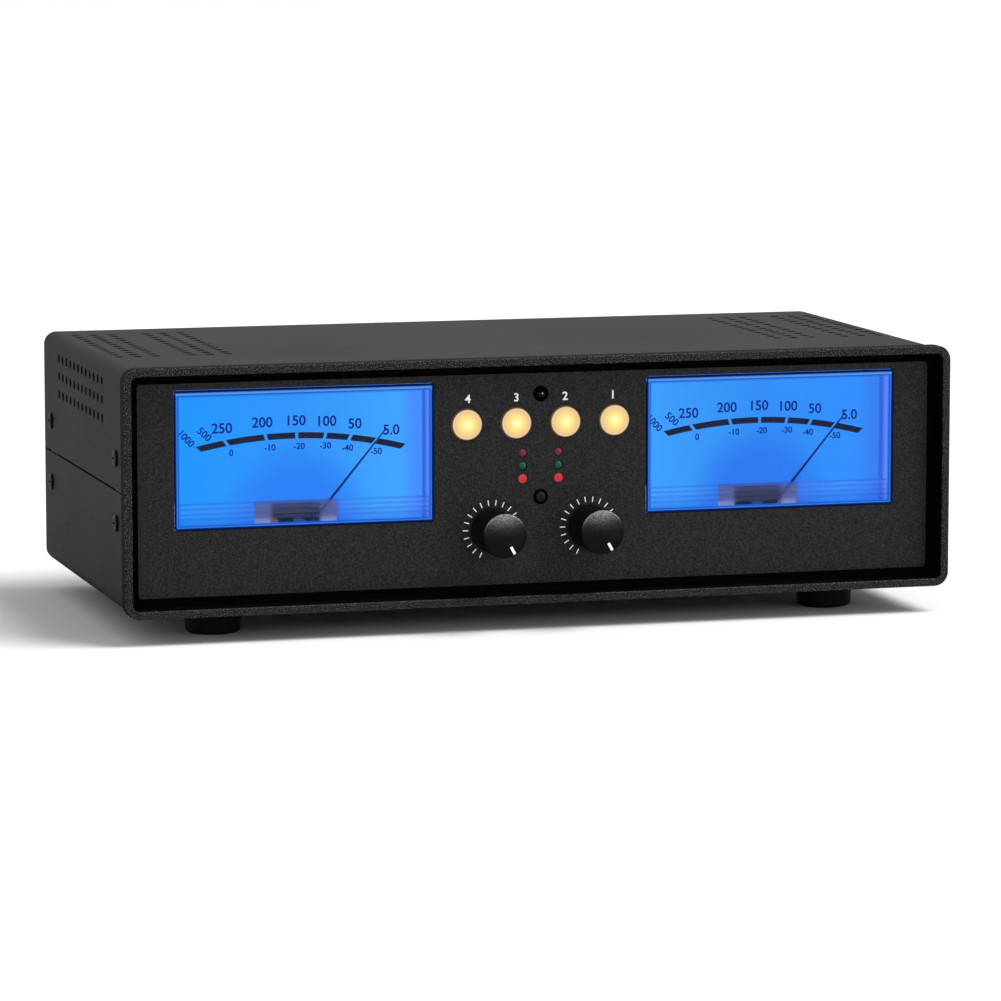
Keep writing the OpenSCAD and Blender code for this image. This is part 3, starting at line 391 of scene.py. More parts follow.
def clear_acrylic(name, centre_x):
    """Polished acrylic: clear in the middle, with a painted glow of layered blue round its rim and
    walls.
    """
    clear = blank(name)
    place = add(clear, "ShaderNodeTexCoord")
    here = add(clear, "ShaderNodeMapping", {"Location": (-centre_x * mm, -front_y, -bezel_z)},
               {"Vector": place.outputs["Object"]})
    axes = add(clear, "ShaderNodeSeparateXYZ", links={0: here.outputs[0]})
    turned = add(clear, "ShaderNodeNewGeometry")
    normal = add(clear, "ShaderNodeSeparateXYZ", links={0: turned.outputs["Normal"]})
    facing = add(clear, "ShaderNodeMath", {"operation": "ABSOLUTE"}, {0: normal.outputs["Y"]})
    square_on = add(clear, "ShaderNodeMath", {"operation": "GREATER_THAN", 1: 0.5},
                    {0: facing.outputs[0]})

    # distance in from the edge of the window, for the layers of the rim
    across = add(clear, "ShaderNodeMath", {"operation": "ABSOLUTE"}, {0: axes.outputs["X"]})
    side_in = add(clear, "ShaderNodeMath", {"operation": "SUBTRACT", 0: window_half * mm},
                  {1: across.outputs[0]})
    top_far = add(clear, "ShaderNodeMath", {"operation": "SUBTRACT", 0: window_high * mm},
                  {1: axes.outputs["Z"]})
    top_in = add(clear, "ShaderNodeMath", {"operation": "MULTIPLY", 1: 0.75},
                 {0: top_far.outputs[0]})
    low_in = add(clear, "ShaderNodeMath", {"operation": "SUBTRACT", 1: window_low * mm},
                 {0: axes.outputs["Z"]})
    upper_in = add(clear, "ShaderNodeMath", {"operation": "MINIMUM"},
                   {0: side_in.outputs[0], 1: top_in.outputs[0]})
    inward = add(clear, "ShaderNodeMath", {"operation": "MINIMUM"},
                 {0: upper_in.outputs[0], 1: low_in.outputs[0]})
    rim_share = add(clear, "ShaderNodeMath", {"operation": "DIVIDE", 1: rim_width * mm},
                    {0: inward.outputs[0]})
    rim_glow = add(clear, "ShaderNodeValToRGB", links={0: rim_share.outputs[0]})
    rim_glow.color_ramp.elements[0].color = linear("00143c")
    rim_glow.color_ramp.elements[1].color = linear("2785f5")
    for depth_mm, tone in ((0.62, "02205a"), (0.85, "1c4fb4"), (1.05, "4a86ea"), (1.25, "2264d2"),
                           (1.45, "0b4fc0"), (1.75, "1a70e4")):
        rim_glow.color_ramp.elements.new(depth_mm / rim_width).color = linear(tone)
    # the upper edge catches more light than the sides, so it is paler
    above = add(clear, "ShaderNodeMath", {"operation": "LESS_THAN", 1: 1.32 * mm},
                {0: top_in.outputs[0]})
    inside = add(clear, "ShaderNodeMath", {"operation": "GREATER_THAN", 1: 0.7 * mm},
                 {0: inward.outputs[0]})
    pale_here = add(clear, "ShaderNodeMath", {"operation": "MULTIPLY"},
                    {0: above.outputs[0], 1: inside.outputs[0]})
    rim_pale = add(clear, "ShaderNodeMix",
                   {"data_type": "RGBA", "blend_type": "SCREEN", 7: linear("486478")},
                   {0: pale_here.outputs[0], 6: rim_glow.outputs[0]})
    rim_hold = add(clear, "ShaderNodeMapRange",
                   {"From Min": 1.3 * mm, "From Max": 2.1 * mm, "To Min": 1.0, "To Max": 0.0},
                   {"Value": inward.outputs[0]})
    at_front = add(clear, "ShaderNodeMath", {"operation": "LESS_THAN", 1: lens_front * mm},
                   {0: axes.outputs["Y"]})
    front = add(clear, "ShaderNodeMath", {"operation": "MULTIPLY"},
                {0: square_on.outputs[0], 1: at_front.outputs[0]})
    rim_share_seen = add(clear, "ShaderNodeMath", {"operation": "MULTIPLY"},
                         {0: front.outputs[0], 1: rim_hold.outputs["Result"]})

    # the painted glow on the side walls, from the lens back to the dial
    wall_share = add(clear, "ShaderNodeMapRange",
                     {"From Min": lens_back * mm, "From Max": dial_depth * mm},
                     {"Value": axes.outputs["Y"]})
    painted_wall = add(clear, "ShaderNodeValToRGB", links={0: wall_share.outputs["Result"]})
    painted_wall.color_ramp.elements[0].color = linear("1444b8")
    painted_wall.color_ramp.elements[1].color = linear("4080f4")
    for share, tone in ((0.08, "4a76ea"), (0.25, "5f8eff"), (0.45, "5081f7"), (0.65, "3265dc"),
                        (0.85, "2c62db")):
        painted_wall.color_ramp.elements.new(share).color = linear(tone)
    edge_on = add(clear, "ShaderNodeMath", {"operation": "SUBTRACT", 0: 1.0},
                  {1: square_on.outputs[0]})
    behind = add(clear, "ShaderNodeMath",
                 {"operation": "GREATER_THAN", 1: (lens_back + 0.05) * mm}, {0: axes.outputs["Y"]})
    wall_seen = add(clear, "ShaderNodeMath", {"operation": "MULTIPLY"},
                    {0: edge_on.outputs[0], 1: behind.outputs[0]})

    # painted shade dims every second rib line; the ribs blur what is behind them, and both stop
    # above the sill
    ribbed = add(clear, "ShaderNodeMapRange",
                 {"From Min": (rib_top + 0.2) * mm, "From Max": (rib_top - 0.2) * mm},
                 {"Value": axes.outputs["Z"]})
    sill = add(clear, "ShaderNodeMapRange",
               {"From Min": (rib_foot - 0.25) * mm, "From Max": (rib_foot + 0.25) * mm},
               {"Value": axes.outputs["Z"]})
    ribbed = add(clear, "ShaderNodeMath", {"operation": "MULTIPLY"},
                 {0: ribbed.outputs["Result"], 1: sill.outputs["Result"]})
    wave = add(clear, "ShaderNodeMath",
               {"operation": "MULTIPLY", 1: 2 * math.pi / (rib_pair * mm)},
               {0: axes.outputs["Z"]})
    line = add(clear, "ShaderNodeMath", {"operation": "SINE"}, {0: wave.outputs[0]})
    dim = add(clear, "ShaderNodeMapRange",
              {"From Min": -0.6, "From Max": 0.8, "To Min": 0.0, "To Max": 0.6},
              {"Value": line.outputs[0]})
    dim_here = add(clear, "ShaderNodeMath", {"operation": "MULTIPLY"},
                   {0: dim.outputs["Result"], 1: ribbed.outputs[0]})
    rib_shade_lines = add(clear, "ShaderNodeMix",
                {"data_type": "RGBA", 6: linear("f8fbff"), 7: linear("b4c6f0")},
                {0: dim_here.outputs[0]})
    # a painted blue that deepens towards the foot of the window
    painted_deep_share = add(clear, "ShaderNodeMapRange",
               {"From Min": 33.5 * mm, "From Max": 28 * mm, "To Min": 0.0, "To Max": 0.5},
               {"Value": axes.outputs["Z"]})
    painted_tint = add(clear, "ShaderNodeMix", {"data_type": "RGBA", 7: linear("80a4e6")},
               {0: painted_deep_share.outputs["Result"], 6: rib_shade_lines.outputs[2]})
    gloss = add(clear, "ShaderNodeMapRange", {"To Min": 0.02, "To Max": 0.22},
                {"Value": ribbed.outputs[0]})
    # in front of the dial's cut-out they carry a painted haze, a faint grey-blue glow
    opening = add(clear, "ShaderNodeMapRange", {"From Min": 17 * mm, "From Max": 14 * mm},
                  {"Value": across.outputs[0]})
    haze_glow_share = add(clear, "ShaderNodeMath", {"operation": "MULTIPLY"},
                {0: dim_here.outputs[0], 1: opening.outputs["Result"]})
    painted_haze_glow = add(clear, "ShaderNodeMix", {"data_type": "RGBA", 6: (0, 0, 0, 1), 7: linear("242636")},
               {0: haze_glow_share.outputs[0]})
    body = add(clear, "ShaderNodeBsdfPrincipled",
               {"Transmission Weight": 1.0, "IOR": 1.49, "Specular Tint": (0.1, 0.14, 0.2, 1),
                "Emission Strength": 1.0},
               {"Base Color": painted_tint.outputs[2], "Roughness": gloss.outputs["Result"],
                "Emission Color": painted_haze_glow.outputs[2]})
    glow_tone = add(clear, "ShaderNodeMix", {"data_type": "RGBA"},
                    {0: wall_seen.outputs[0], 6: rim_pale.outputs[2], 7: painted_wall.outputs[0]})
    glow = add(clear, "ShaderNodeEmission", {"Strength": 1.0}, {"Color": glow_tone.outputs[2]})
    lit = add(clear, "ShaderNodeMath", {"operation": "MAXIMUM"},
              {0: rim_share_seen.outputs[0], 1: wall_seen.outputs[0]})
    piped = add(clear, "ShaderNodeMixShader", links={
        0: lit.outputs[0], 1: body.outputs[0], 2: glow.outputs[0]})
    return finish_with(clear, piped.outputs[0])


for side, word in ((-1, "left"), (1, "right")):
    dress(["meter_cover_" + word], clear_acrylic("clear_acrylic_" + word, side * meter_x))


# ---------------------------------------------------------------------------
# Dials. A translucent sheet in the path of the lamps, its even blue shine
# painted on as glow, and the scale printed on it: a dark band in seven
# stretches, with navy figures above and below it.
dial_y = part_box("dial_plate_left")[0].y


def lit_sheet(name, centre_x, left_tone, middle_tone, right_tone, far_tone, low_tone):
    """Back-lit dial sheet as painted glow: its blue shifts across it and deepens at the cut-out.
    """
    sheet = blank(name)
    place = add(sheet, "ShaderNodeTexCoord")
    here = add(sheet, "ShaderNodeMapping", {"Location": (-centre_x * mm, 0, -bezel_z - 30 * mm)},
               {"Vector": place.outputs["Object"]})
    axes = add(sheet, "ShaderNodeSeparateXYZ", links={0: here.outputs[0]})
    wash = add(sheet, "ShaderNodeTexNoise", {"Scale": 18.0, "Detail": 1.0},
               {"Vector": place.outputs["Object"]})
    along = add(sheet, "ShaderNodeMapRange", {"From Min": -40 * mm, "From Max": 40 * mm},
                {"Value": axes.outputs["X"]})
    upper = add(sheet, "ShaderNodeValToRGB", links={0: along.outputs["Result"]})
    upper.color_ramp.elements[0].color = linear(left_tone)
    upper.color_ramp.elements[1].color = linear(right_tone)
    upper.color_ramp.elements.new(0.5).color = linear(middle_tone)
    upper.color_ramp.elements.new(0.93).color = linear(right_tone)
    upper.color_ramp.elements[-1].color = linear(far_tone)
    flat = add(sheet, "ShaderNodeCombineXYZ", links={
        "X": axes.outputs["X"], "Z": axes.outputs["Z"]})
    far = add(sheet, "ShaderNodeVectorMath", {"operation": "LENGTH"}, {0: flat.outputs[0]})
    down = add(sheet, "ShaderNodeMapRange",
               {"From Min": 27 * mm, "From Max": 12 * mm, "interpolation_type": "SMOOTHSTEP"},
               {"Value": far.outputs["Value"]})
    lower = add(sheet, "ShaderNodeMix", {"data_type": "RGBA", 7: linear(low_tone)},
                {0: down.outputs["Result"], 6: upper.outputs[0]})
    level = add(sheet, "ShaderNodeMapRange", {"To Min": 0.96, "To Max": 1.06},
                {"Value": wash.outputs["Fac"]})
    glow = add(sheet, "ShaderNodeEmission", links={
        "Color": lower.outputs[2], "Strength": level.outputs["Result"]})
    return finish_with(sheet, glow.outputs[0])


dress(["dial_plate_left"], lit_sheet(
    "backlit_dial_sheet_left", -meter_x, "1c98fc", "3296fb", "40a6fd", "468efc", "2a82f4"))
dress(["dial_plate_right"], lit_sheet(
    "backlit_dial_sheet_right", meter_x, "3ea2fc", "3290f6", "3290fc", "3682f4", "2a7aee"))

# the band is dense and nearly black, and the figures let some blue light through; both carry it as
# a faint painted glow
slate_ink = printed("slate_dial_ink_dense", "1c1b34", "24203a", 0.7, 0.02, 0.4)
navy_ink = printed("navy_dial_ink_translucent", "061c82", "0a2492", 0.7, 0.02, 0.32)

# the band lies between two arcs about a low centre; gaps point at the needle's axis
arc_x, arc_z = -0.9, -88.5
arc_low, arc_high = 143.1, 145.1
arc_sweep, arc_steps = 32, 48
axis_z = 21.6
gap_rays = (-35.9, -16.8, 0.2, 15.9, 28.65, 40.2)
end_rays = (-46.9, 50.7)
upper_numbers = (("1000", -36.4, 55.6, -47, 2.4), ("500", -30.5, 56.9, -42, 2.5),
                 ("250", -24.75, 58.7, 0, 3.4), ("200", -11.35, 60.2, 0, 3.4),
                 ("150", 0.1, 60.5, 0, 3.4), ("100", 10.35, 60.0, 0, 3.4),
                 ("50", 19.6, 58.9, 0, 3.4), ("5.0", 31.8, 56.5, 0, 3.4))
lower_numbers = (("0", -21.7, 50.6), ("-10", -8.85, 51.9), ("-20", 0.9, 52.1), ("-30", 9.7, 52.0),
                 ("-40", 17.1, 51.0), ("-50", 26.75, 49.6))


def scale_band(form, centre_x, ray_a, ray_b, trim_a, trim_b):
    """Adds one stretch of the band, cut at both ends by rays from the axis."""
    strip = bmesh.new()
    low = strip.verts.new((0, 0, arc_low * mm))
    high = strip.verts.new((0, 0, arc_high * mm))
    edge = strip.edges.new((low, high))
    bmesh.ops.rotate(strip, verts=strip.verts, cent=(0, 0, 0),
                     matrix=Matrix.Rotation(math.radians(-arc_sweep / 2), 3, "Y"))
    bmesh.ops.spin(strip, geom=[low, high, edge], cent=(0, 0, 0), axis=(0, 1, 0),
                   angle=math.radians(arc_sweep), steps=arc_steps,
                   use_merge=False, use_duplicate=False)
    bmesh.ops.translate(strip, verts=strip.verts, vec=(arc_x * mm, 0, arc_z * mm))
    for ray, trim, sign in ((ray_a, trim_a, 1), (ray_b, trim_b, -1)):
        swing = math.radians(ray)
        across = Vector((math.cos(swing), 0, -math.sin(swing)))
        bmesh.ops.bisect_plane(
            strip, geom=strip.verts[:] + strip.edges[:] + strip.faces[:], dist=1e-8,
            plane_co=Vector((0, 0, axis_z * mm)) + across * sign * trim * mm,
            plane_no=-across * sign, clear_outer=True)
    bmesh.ops.translate(strip, verts=strip.verts, vec=(centre_x * mm, dial_y, bezel_z))
    kept = bpy.data.meshes.new("band")
    strip.to_mesh(kept)
    strip.free()
    form.from_mesh(kept)
    bpy.data.meshes.remove(kept)


for side, word in ((-1, "left"), (1, "right")):
    dial_form = bmesh.new()
    rays = (end_rays[0],) + gap_rays + (end_rays[1],)
    for k in range(len(rays) - 1):
        scale_band(dial_form, side * meter_x, rays[k], rays[k + 1],
                   0.0 if k == 0 else 0.5, 0.0 if k == len(rays) - 2 else 0.5)
    raise_ink(dial_form, ink_skin)
    piece("dial_band_" + word, dial_form, slate_ink, "chassis")

    figure_form = bmesh.new()
    for label, x, z, tilt, tall in upper_numbers:
        figures(figure_form, label, side * meter_x + x, z, dial_y, tall, tilt, 0.016)
    for label, x, z in lower_numbers:
        figures(figure_form, label, side * meter_x + x, z, dial_y, 2.15, heavy=0.02)
    raise_ink(figure_form, ink_skin)
    piece("dial_figures_" + word, figure_form, navy_ink, "chassis")


# ---------------------------------------------------------------------------
# Movements. A painted needle on a copper coil that turns round a magnet in
# an iron ring, held by a dark bronze frame in a white plastic housing; the
# frame's ends and the housing carry a painted blue glow.
needle_paint = blank("needle_navy_enamel")
needle_place = add(needle_paint, "ShaderNodeTexCoord")
needle_cloud = add(needle_paint, "ShaderNodeTexNoise", {"Scale": 400.0},
                   {"Vector": needle_place.outputs["Object"]})
needle_tone = add(needle_paint, "ShaderNodeMix",
                  {"data_type": "RGBA", 6: linear("08227c"), 7: linear("0e2a88")},
                  {0: needle_cloud.outputs["Fac"]})
needle_body = add(needle_paint, "ShaderNodeBsdfPrincipled",
                  {"Roughness": 0.4, "Specular IOR Level": 0.1},
                  {"Base Color": needle_tone.outputs[2]})
finish_with(needle_paint, needle_body.outputs[0])
dress(["needle_left", "needle_right"], needle_paint)

dress(["moving_coil_left", "moving_coil_right"],
      plated_metal("enamelled_copper_wire", "b8683c", "7c3f22", 0.35, 0.5))
dress(["core_magnet_left", "core_magnet_right"],
      plated_metal("sintered_magnet_alloy", "2c2c30", "18181b", 0.45, 1.0))
dress(["yoke_left", "yoke_right"], plated_metal("soft_iron_blued", "34343a", "1e1e24", 0.35, 1.5))

# the frame plate's outer ends carry the dial's light as a painted glow: blue, and pale at the foot
frame_plate = plated_metal("pressed_bronze_dark", "4a3228", "241812", 0.4, 2.0)
frame_metal = next(n for n in frame_plate.node_tree.nodes if n.type == "BSDF_PRINCIPLED")
frame_place = add(frame_plate, "ShaderNodeTexCoord")
frame_axes = add(frame_plate, "ShaderNodeSeparateXYZ", links={0: frame_place.outputs["Object"]})
frame_side = add(frame_plate, "ShaderNodeMath", {"operation": "ABSOLUTE"},
                 {0: frame_axes.outputs["X"]})
frame_across = add(frame_plate, "ShaderNodeMath", {"operation": "SUBTRACT", 1: meter_x * mm},
                   {0: frame_side.outputs[0]})
frame_out = add(frame_plate, "ShaderNodeMath", {"operation": "ABSOLUTE"},
                {0: frame_across.outputs[0]})
frame_lit = add(frame_plate, "ShaderNodeMapRange", {"From Min": 7.6 * mm, "From Max": 8.8 * mm},
                {"Value": frame_out.outputs[0]})
frame_cloud = add(frame_plate, "ShaderNodeTexNoise", {"Scale": 500.0},
                  {"Vector": frame_place.outputs["Object"]})
frame_foot = add(frame_plate, "ShaderNodeMapRange",
                 {"From Min": bezel_z + 29.6 * mm, "From Max": bezel_z + 27.3 * mm},
                 {"Value": frame_axes.outputs["Z"]})
frame_glow_pale = add(frame_plate, "ShaderNodeMath", {"operation": "MULTIPLY_ADD", 1: 0.3},
                 {0: frame_cloud.outputs["Fac"], 2: frame_foot.outputs["Result"]})
frame_glow_blue = add(frame_plate, "ShaderNodeMix",
                 {"data_type": "RGBA", 6: linear("1e245c"), 7: linear("9ca0cc")},
                 {0: frame_glow_pale.outputs[0]})
frame_end = add(frame_plate, "ShaderNodeBsdfPrincipled",
                {"Roughness": 0.5, "Emission Strength": 0.9, "Base Color": linear("606070")},
                {"Emission Color": frame_glow_blue.outputs[2]})
frame_both = add(frame_plate, "ShaderNodeMixShader", links={
    0: frame_lit.outputs["Result"], 1: frame_metal.outputs[0], 2: frame_end.outputs[0]})
# a copper-coloured spot with a faint painted glow, and a painted white glint, near the plate's
# lower edge
frame_shader = frame_both.outputs[0]
for mark_x, mark_z, mark_r, tone, shine in ((7.0, 27.5, 1.1, "b4684a", 0.5),
                                            (-1.0, 27.5, 0.7, "f4f4fa", 1.6)):
    mark_here = add(frame_plate, "ShaderNodeCombineXYZ",
                    links={"X": frame_across.outputs[0], "Z": frame_axes.outputs["Z"]})
    mark_far = add(frame_plate, "ShaderNodeVectorMath",
                   {"operation": "DISTANCE", 1: (mark_x * mm, 0, bezel_z + mark_z * mm)},
                   {0: mark_here.outputs[0]})
    mark_share = add(frame_plate, "ShaderNodeMapRange",
                     {"From Min": mark_r * mm, "From Max": mark_r * 0.6 * mm},
                     {"Value": mark_far.outputs["Value"]})
    mark_skin = add(frame_plate, "ShaderNodeBsdfPrincipled", {
        "Metallic": 0.5, "Roughness": 0.35, "Base Color": linear(tone),
        "Emission Color": linear(tone), "Emission Strength": shine})
    frame_shader = add(frame_plate, "ShaderNodeMixShader", links={
        0: mark_share.outputs["Result"], 1: frame_shader, 2: mark_skin.outputs[0]}).outputs[0]
finish_with(frame_plate, frame_shader)
dress(["bearing_frame_left", "bearing_frame_right"], frame_plate)


def moulded(name, colour, shade, roughness, cloud_mm, glow=0.0, level=0.3):
    """Moulded plastic: a smooth skin with faint clouds from its flow."""
    plastic = blank(name)
    place = add(plastic, "ShaderNodeTexCoord")
    flow = add(plastic, "ShaderNodeTexNoise", {"Scale": 1000 / cloud_mm, "Detail": 2.0},
               {"Vector": place.outputs["Object"]})
    tone = add(plastic, "ShaderNodeMix",
               {"data_type": "RGBA", 6: linear(colour), 7: linear(shade)},
               {0: flow.outputs["Fac"]})
    gloss = add(plastic, "ShaderNodeMapRange",
                {"To Min": roughness - 0.05, "To Max": roughness + 0.05},
                {"Value": flow.outputs["Fac"]})
    body = add(plastic, "ShaderNodeBsdfPrincipled",
               {"Emission Strength": glow, "Specular IOR Level": level},
               {"Base Color": tone.outputs[2], "Roughness": gloss.outputs["Result"],
                "Emission Color": tone.outputs[2]})
    return finish_with(plastic, body.outputs[0])


# the housing's lavender tone and faint glow are painted light from the dial's lamps
dress(["meter_case_left", "meter_case_right"],
      moulded("white_abs_housing_painted_glow", "9aa2d8", "7880b8", 0.5, 8.0, 0.12))
dress(["backlights"], moulded("lamp_strip_diffuser", "d4e6ff", "b8d4ff", 0.4, 4.0, 1.0))
brass = plated_metal("turned_brass", "c9a25a", "9c7838", 0.3, 1.5)
dress(["meter_terminals", "board_posts", "standoffs"], brass)


# ---------------------------------------------------------------------------
# Channel buttons. Four caps of amber plastic over warm lamps: nearly white
# in the middle, orange at the edge, in close round holes of the plate.
button_pitch, row_z, button_reach = 16.7, 58.65, 5.6
amber = blank("amber_plastic_lit_from_behind")
amber_place = add(amber, "ShaderNodeTexCoord")
amber_here = add(amber, "ShaderNodeMapping",
                 {"Location": (-0.5 * button_pitch * mm, 0, -bezel_z - row_z * mm)},
                 {"Vector": amber_place.outputs["Object"]})
amber_axes = add(amber, "ShaderNodeSeparateXYZ", links={0: amber_here.outputs[0]})
amber_x = add(amber, "ShaderNodeMath",
              {"operation": "WRAP", 1: -0.5 * button_pitch * mm, 2: 0.5 * button_pitch * mm},
              {0: amber_axes.outputs["X"]})
amber_flat = add(amber, "ShaderNodeCombineXYZ",
                 links={"X": amber_x.outputs[0], "Z": amber_axes.outputs["Z"]})
amber_far = add(amber, "ShaderNodeVectorMath", {"operation": "LENGTH"}, {0: amber_flat.outputs[0]})
amber_share = add(amber, "ShaderNodeMath", {"operation": "DIVIDE", 1: button_reach * mm},
                  {0: amber_far.outputs["Value"]})
amber_ramp = add(amber, "ShaderNodeValToRGB", links={0: amber_share.outputs[0]})
amber_ramp.color_ramp.elements[0].color = linear("fffed2")
amber_ramp.color_ramp.elements[1].color = linear("2e200d")
for radius, tone in ((0.7, "fefbc0"), (1.3, "fdf6a1"), (2.0, "fcec8e"), (2.9, "fadb8c"),
                     (3.9, "efca90"), (4.3, "e7c492"), (4.55, "f0d8b4"), (4.8, "c8aa84"),
                     (5.0, "5a4228")):
    amber_ramp.color_ramp.elements.new(radius / button_reach).color = linear(tone)
amber_glow = add(amber, "ShaderNodeBsdfPrincipled",
                 {"Roughness": 0.35, "Emission Strength": 1.0, "Base Color": linear("2a1a0c"),
                  "Specular IOR Level": 0.1},
                 {"Emission Color": amber_ramp.outputs[0]})
finish_with(amber, amber_glow.outputs[0])
dress(["channel_button_%d" % k for k in (1, 2, 3, 4)], amber)
black_plastic = moulded("moulded_black_nylon", "0e0e0f", "17171a", 0.4, 3.0)
dress(["switches", "phono_blocks", "dc_inlet"], black_plastic)


# ---------------------------------------------------------------------------
# Mode button and remote receiver. A small satin black cap in its hole, and
# a glossy dark red-black dome that lets only infrared through.
def crowned(material, centre_x, centre_z, radius_mm, fold=False):
    """Distance from a face's middle, height of its crown, and place, as sockets."""
    place = add(material, "ShaderNodeTexCoord")
    axes = add(material, "ShaderNodeSeparateXYZ", links={0: place.outputs["Object"]})
    side = axes.outputs["X"]
    if fold:
        side = add(material, "ShaderNodeMath", {"operation": "ABSOLUTE"}, {0: side}).outputs[0]
    across = add(material, "ShaderNodeMath", {"operation": "SUBTRACT", 1: centre_x * mm},
                 {0: side})
    up = add(material, "ShaderNodeMath", {"operation": "SUBTRACT", 1: bezel_z + centre_z * mm},
             {0: axes.outputs["Z"]})
    flat = add(material, "ShaderNodeCombineXYZ",
               links={"X": across.outputs[0], "Z": up.outputs[0]})
    far = add(material, "ShaderNodeVectorMath", {"operation": "LENGTH"}, {0: flat.outputs[0]})
    squared = add(material, "ShaderNodeMath", {"operation": "POWER", 1: 2.0},
                  {0: far.outputs["Value"]})
    height = add(material, "ShaderNodeMath",
                 {"operation": "MULTIPLY", 1: -1 / (2 * radius_mm * mm)}, {0: squared.outputs[0]})
    return far.outputs["Value"], height.outputs[0], place.outputs["Object"]


# the cap is domed: a dull middle, a painted highlight in a paler ring, and painted shade, black,
# where it drops away
cap_skin = blank("satin_black_cap_painted_light")
cap_far, cap_height, cap_place = crowned(cap_skin, 0.0, 34.15, 4.0)
cap_radius = 2.4
cap_share = add(cap_skin, "ShaderNodeMath", {"operation": "DIVIDE", 1: cap_radius * mm},
                {0: cap_far})
cap_grain = add(cap_skin, "ShaderNodeTexNoise", {"Scale": 1000 / 0.4, "Detail": 1.0},
                {"Vector": cap_place})
cap_ramp = add(cap_skin, "ShaderNodeValToRGB", links={0: cap_share.outputs[0]})
cap_ramp.color_ramp.elements[0].color = linear("202022")
cap_ramp.color_ramp.elements[1].color = linear("020202")
for radius, tone in ((1.0, "222224"), (1.35, "38383b"), (1.6, "141415"), (1.8, "040404")):
    cap_ramp.color_ramp.elements.new(radius / cap_radius).color = linear(tone)
cap_tone = add(cap_skin, "ShaderNodeMix", {"data_type": "RGBA", "blend_type": "MULTIPLY", 0: 0.4},
               {6: cap_ramp.outputs[0], 7: cap_grain.outputs["Color"]})
cap_bump = add(cap_skin, "ShaderNodeBump", {"Strength": 1.0, "Distance": 1.0},
               {"Height": cap_height})
cap_body = add(cap_skin, "ShaderNodeBsdfPrincipled",
               {"Roughness": 0.45, "Specular IOR Level": 0.08},
               {"Base Color": cap_tone.outputs[2], "Normal": cap_bump.outputs["Normal"]})
finish_with(cap_skin, cap_body.outputs[0])
dress(["mode_button"], cap_skin)

# the receiver's lens is polished; the one small bright glint on its crown is painted, an emission
# set by how the crown turns
lens_skin = blank("dark_infrared_epoxy")
_, lens_height, lens_place = crowned(lens_skin, 0.0, 68.05, 3.0)
lens_cloud = add(lens_skin, "ShaderNodeTexNoise", {"Scale": 500.0}, {"Vector": lens_place})
lens_tone = add(lens_skin, "ShaderNodeMix",
                {"data_type": "RGBA", 6: linear("040304"), 7: linear("070607")},
                {0: lens_cloud.outputs["Fac"]})
lens_bump = add(lens_skin, "ShaderNodeBump", {"Strength": 1.0, "Distance": 1.0},
                {"Height": lens_height})
lens_turn = add(lens_skin, "ShaderNodeVectorMath",
                {"operation": "DISTANCE", 1: (0.125, -0.98, 0.15)},
                {0: lens_bump.outputs["Normal"]})
lens_glint = add(lens_skin, "ShaderNodeMapRange",
                 {"From Min": 0.2, "From Max": 0.06, "To Min": 0.0, "To Max": 0.9},
                 {"Value": lens_turn.outputs["Value"]})
lens_body = add(lens_skin, "ShaderNodeBsdfPrincipled",
                {"Roughness": 0.16, "Specular IOR Level": 0.12,
                 "Emission Color": linear("f4f4ff")},
                {"Base Color": lens_tone.outputs[2], "Normal": lens_bump.outputs["Normal"],
                 "Emission Strength": lens_glint.outputs["Result"]})
finish_with(lens_skin, lens_body.outputs[0])
dress(["ir_receiver"], lens_skin)


# ---------------------------------------------------------------------------
# Lamps. Six 3 mm epoxy lamps in two columns: the lowest pair lit red, the
# two above it off, dull red and dull green.
def epoxy_lamp(name, middle, body_tone, ring, skirt, glow):
    """Tinted epoxy dome, coloured by how far its face turns from the front: deep in the middle,
    paler in a ring, dark at the skirt.
    """
    epoxy = blank(name)
    place = add(epoxy, "ShaderNodeTexCoord")
    seeds = add(epoxy, "ShaderNodeTexNoise", {"Scale": 1000 / 0.8, "Detail": 2.0},
                {"Vector": place.outputs["Object"]})
    turned = add(epoxy, "ShaderNodeNewGeometry")
    axes = add(epoxy, "ShaderNodeSeparateXYZ", links={0: turned.outputs["Normal"]})
    away = add(epoxy, "ShaderNodeMath", {"operation": "ADD", 1: 0.9}, {0: axes.outputs["Y"]})
    facing_share = add(epoxy, "ShaderNodeMath", {"operation": "MULTIPLY_ADD", 1: 0.2},
                 {0: seeds.outputs["Fac"], 2: away.outputs[0]})
    ramp = add(epoxy, "ShaderNodeValToRGB", links={0: facing_share.outputs[0]})
    ramp.color_ramp.elements[0].color = linear(middle)
    ramp.color_ramp.elements[1].color = linear(skirt)
    ramp.color_ramp.elements.new(0.15).color = linear(body_tone)
    ramp.color_ramp.elements.new(0.5).color = linear(ring)
    dye = add(epoxy, "ShaderNodeMix", {"data_type": "RGBA", 0: glow, 7: (0, 0, 0, 1)},
              {6: ramp.outputs[0]})
    body = add(epoxy, "ShaderNodeBsdfPrincipled",
               {"Roughness": 0.3, "Emission Strength": glow, "Specular IOR Level": 0.15},
               {"Base Color": dye.outputs[2], "Emission Color": ramp.outputs[0]})
    return finish_with(epoxy, body.outputs[0])


dress(["leds_upper"], epoxy_lamp("red_epoxy_unlit", "8e3038", "843038", "85505a", "301c1e", 0.0))
dress(["leds_middle"],
      epoxy_lamp("green_epoxy_unlit", "1e6446", "225e48", "3c6454", "14241c", 0.0))
dress(["leds_lower"], epoxy_lamp("red_epoxy_lit", "d82434", "cc2c3a", "b84a50", "4e2020", 0.9))


# ---------------------------------------------------------------------------
# Knobs. Slim turned aluminium knobs, blasted and dyed black, each with a
# white line filled into a groove of its face; their controls sit behind.
knob_skin = blank("bead_blasted_black_aluminium")
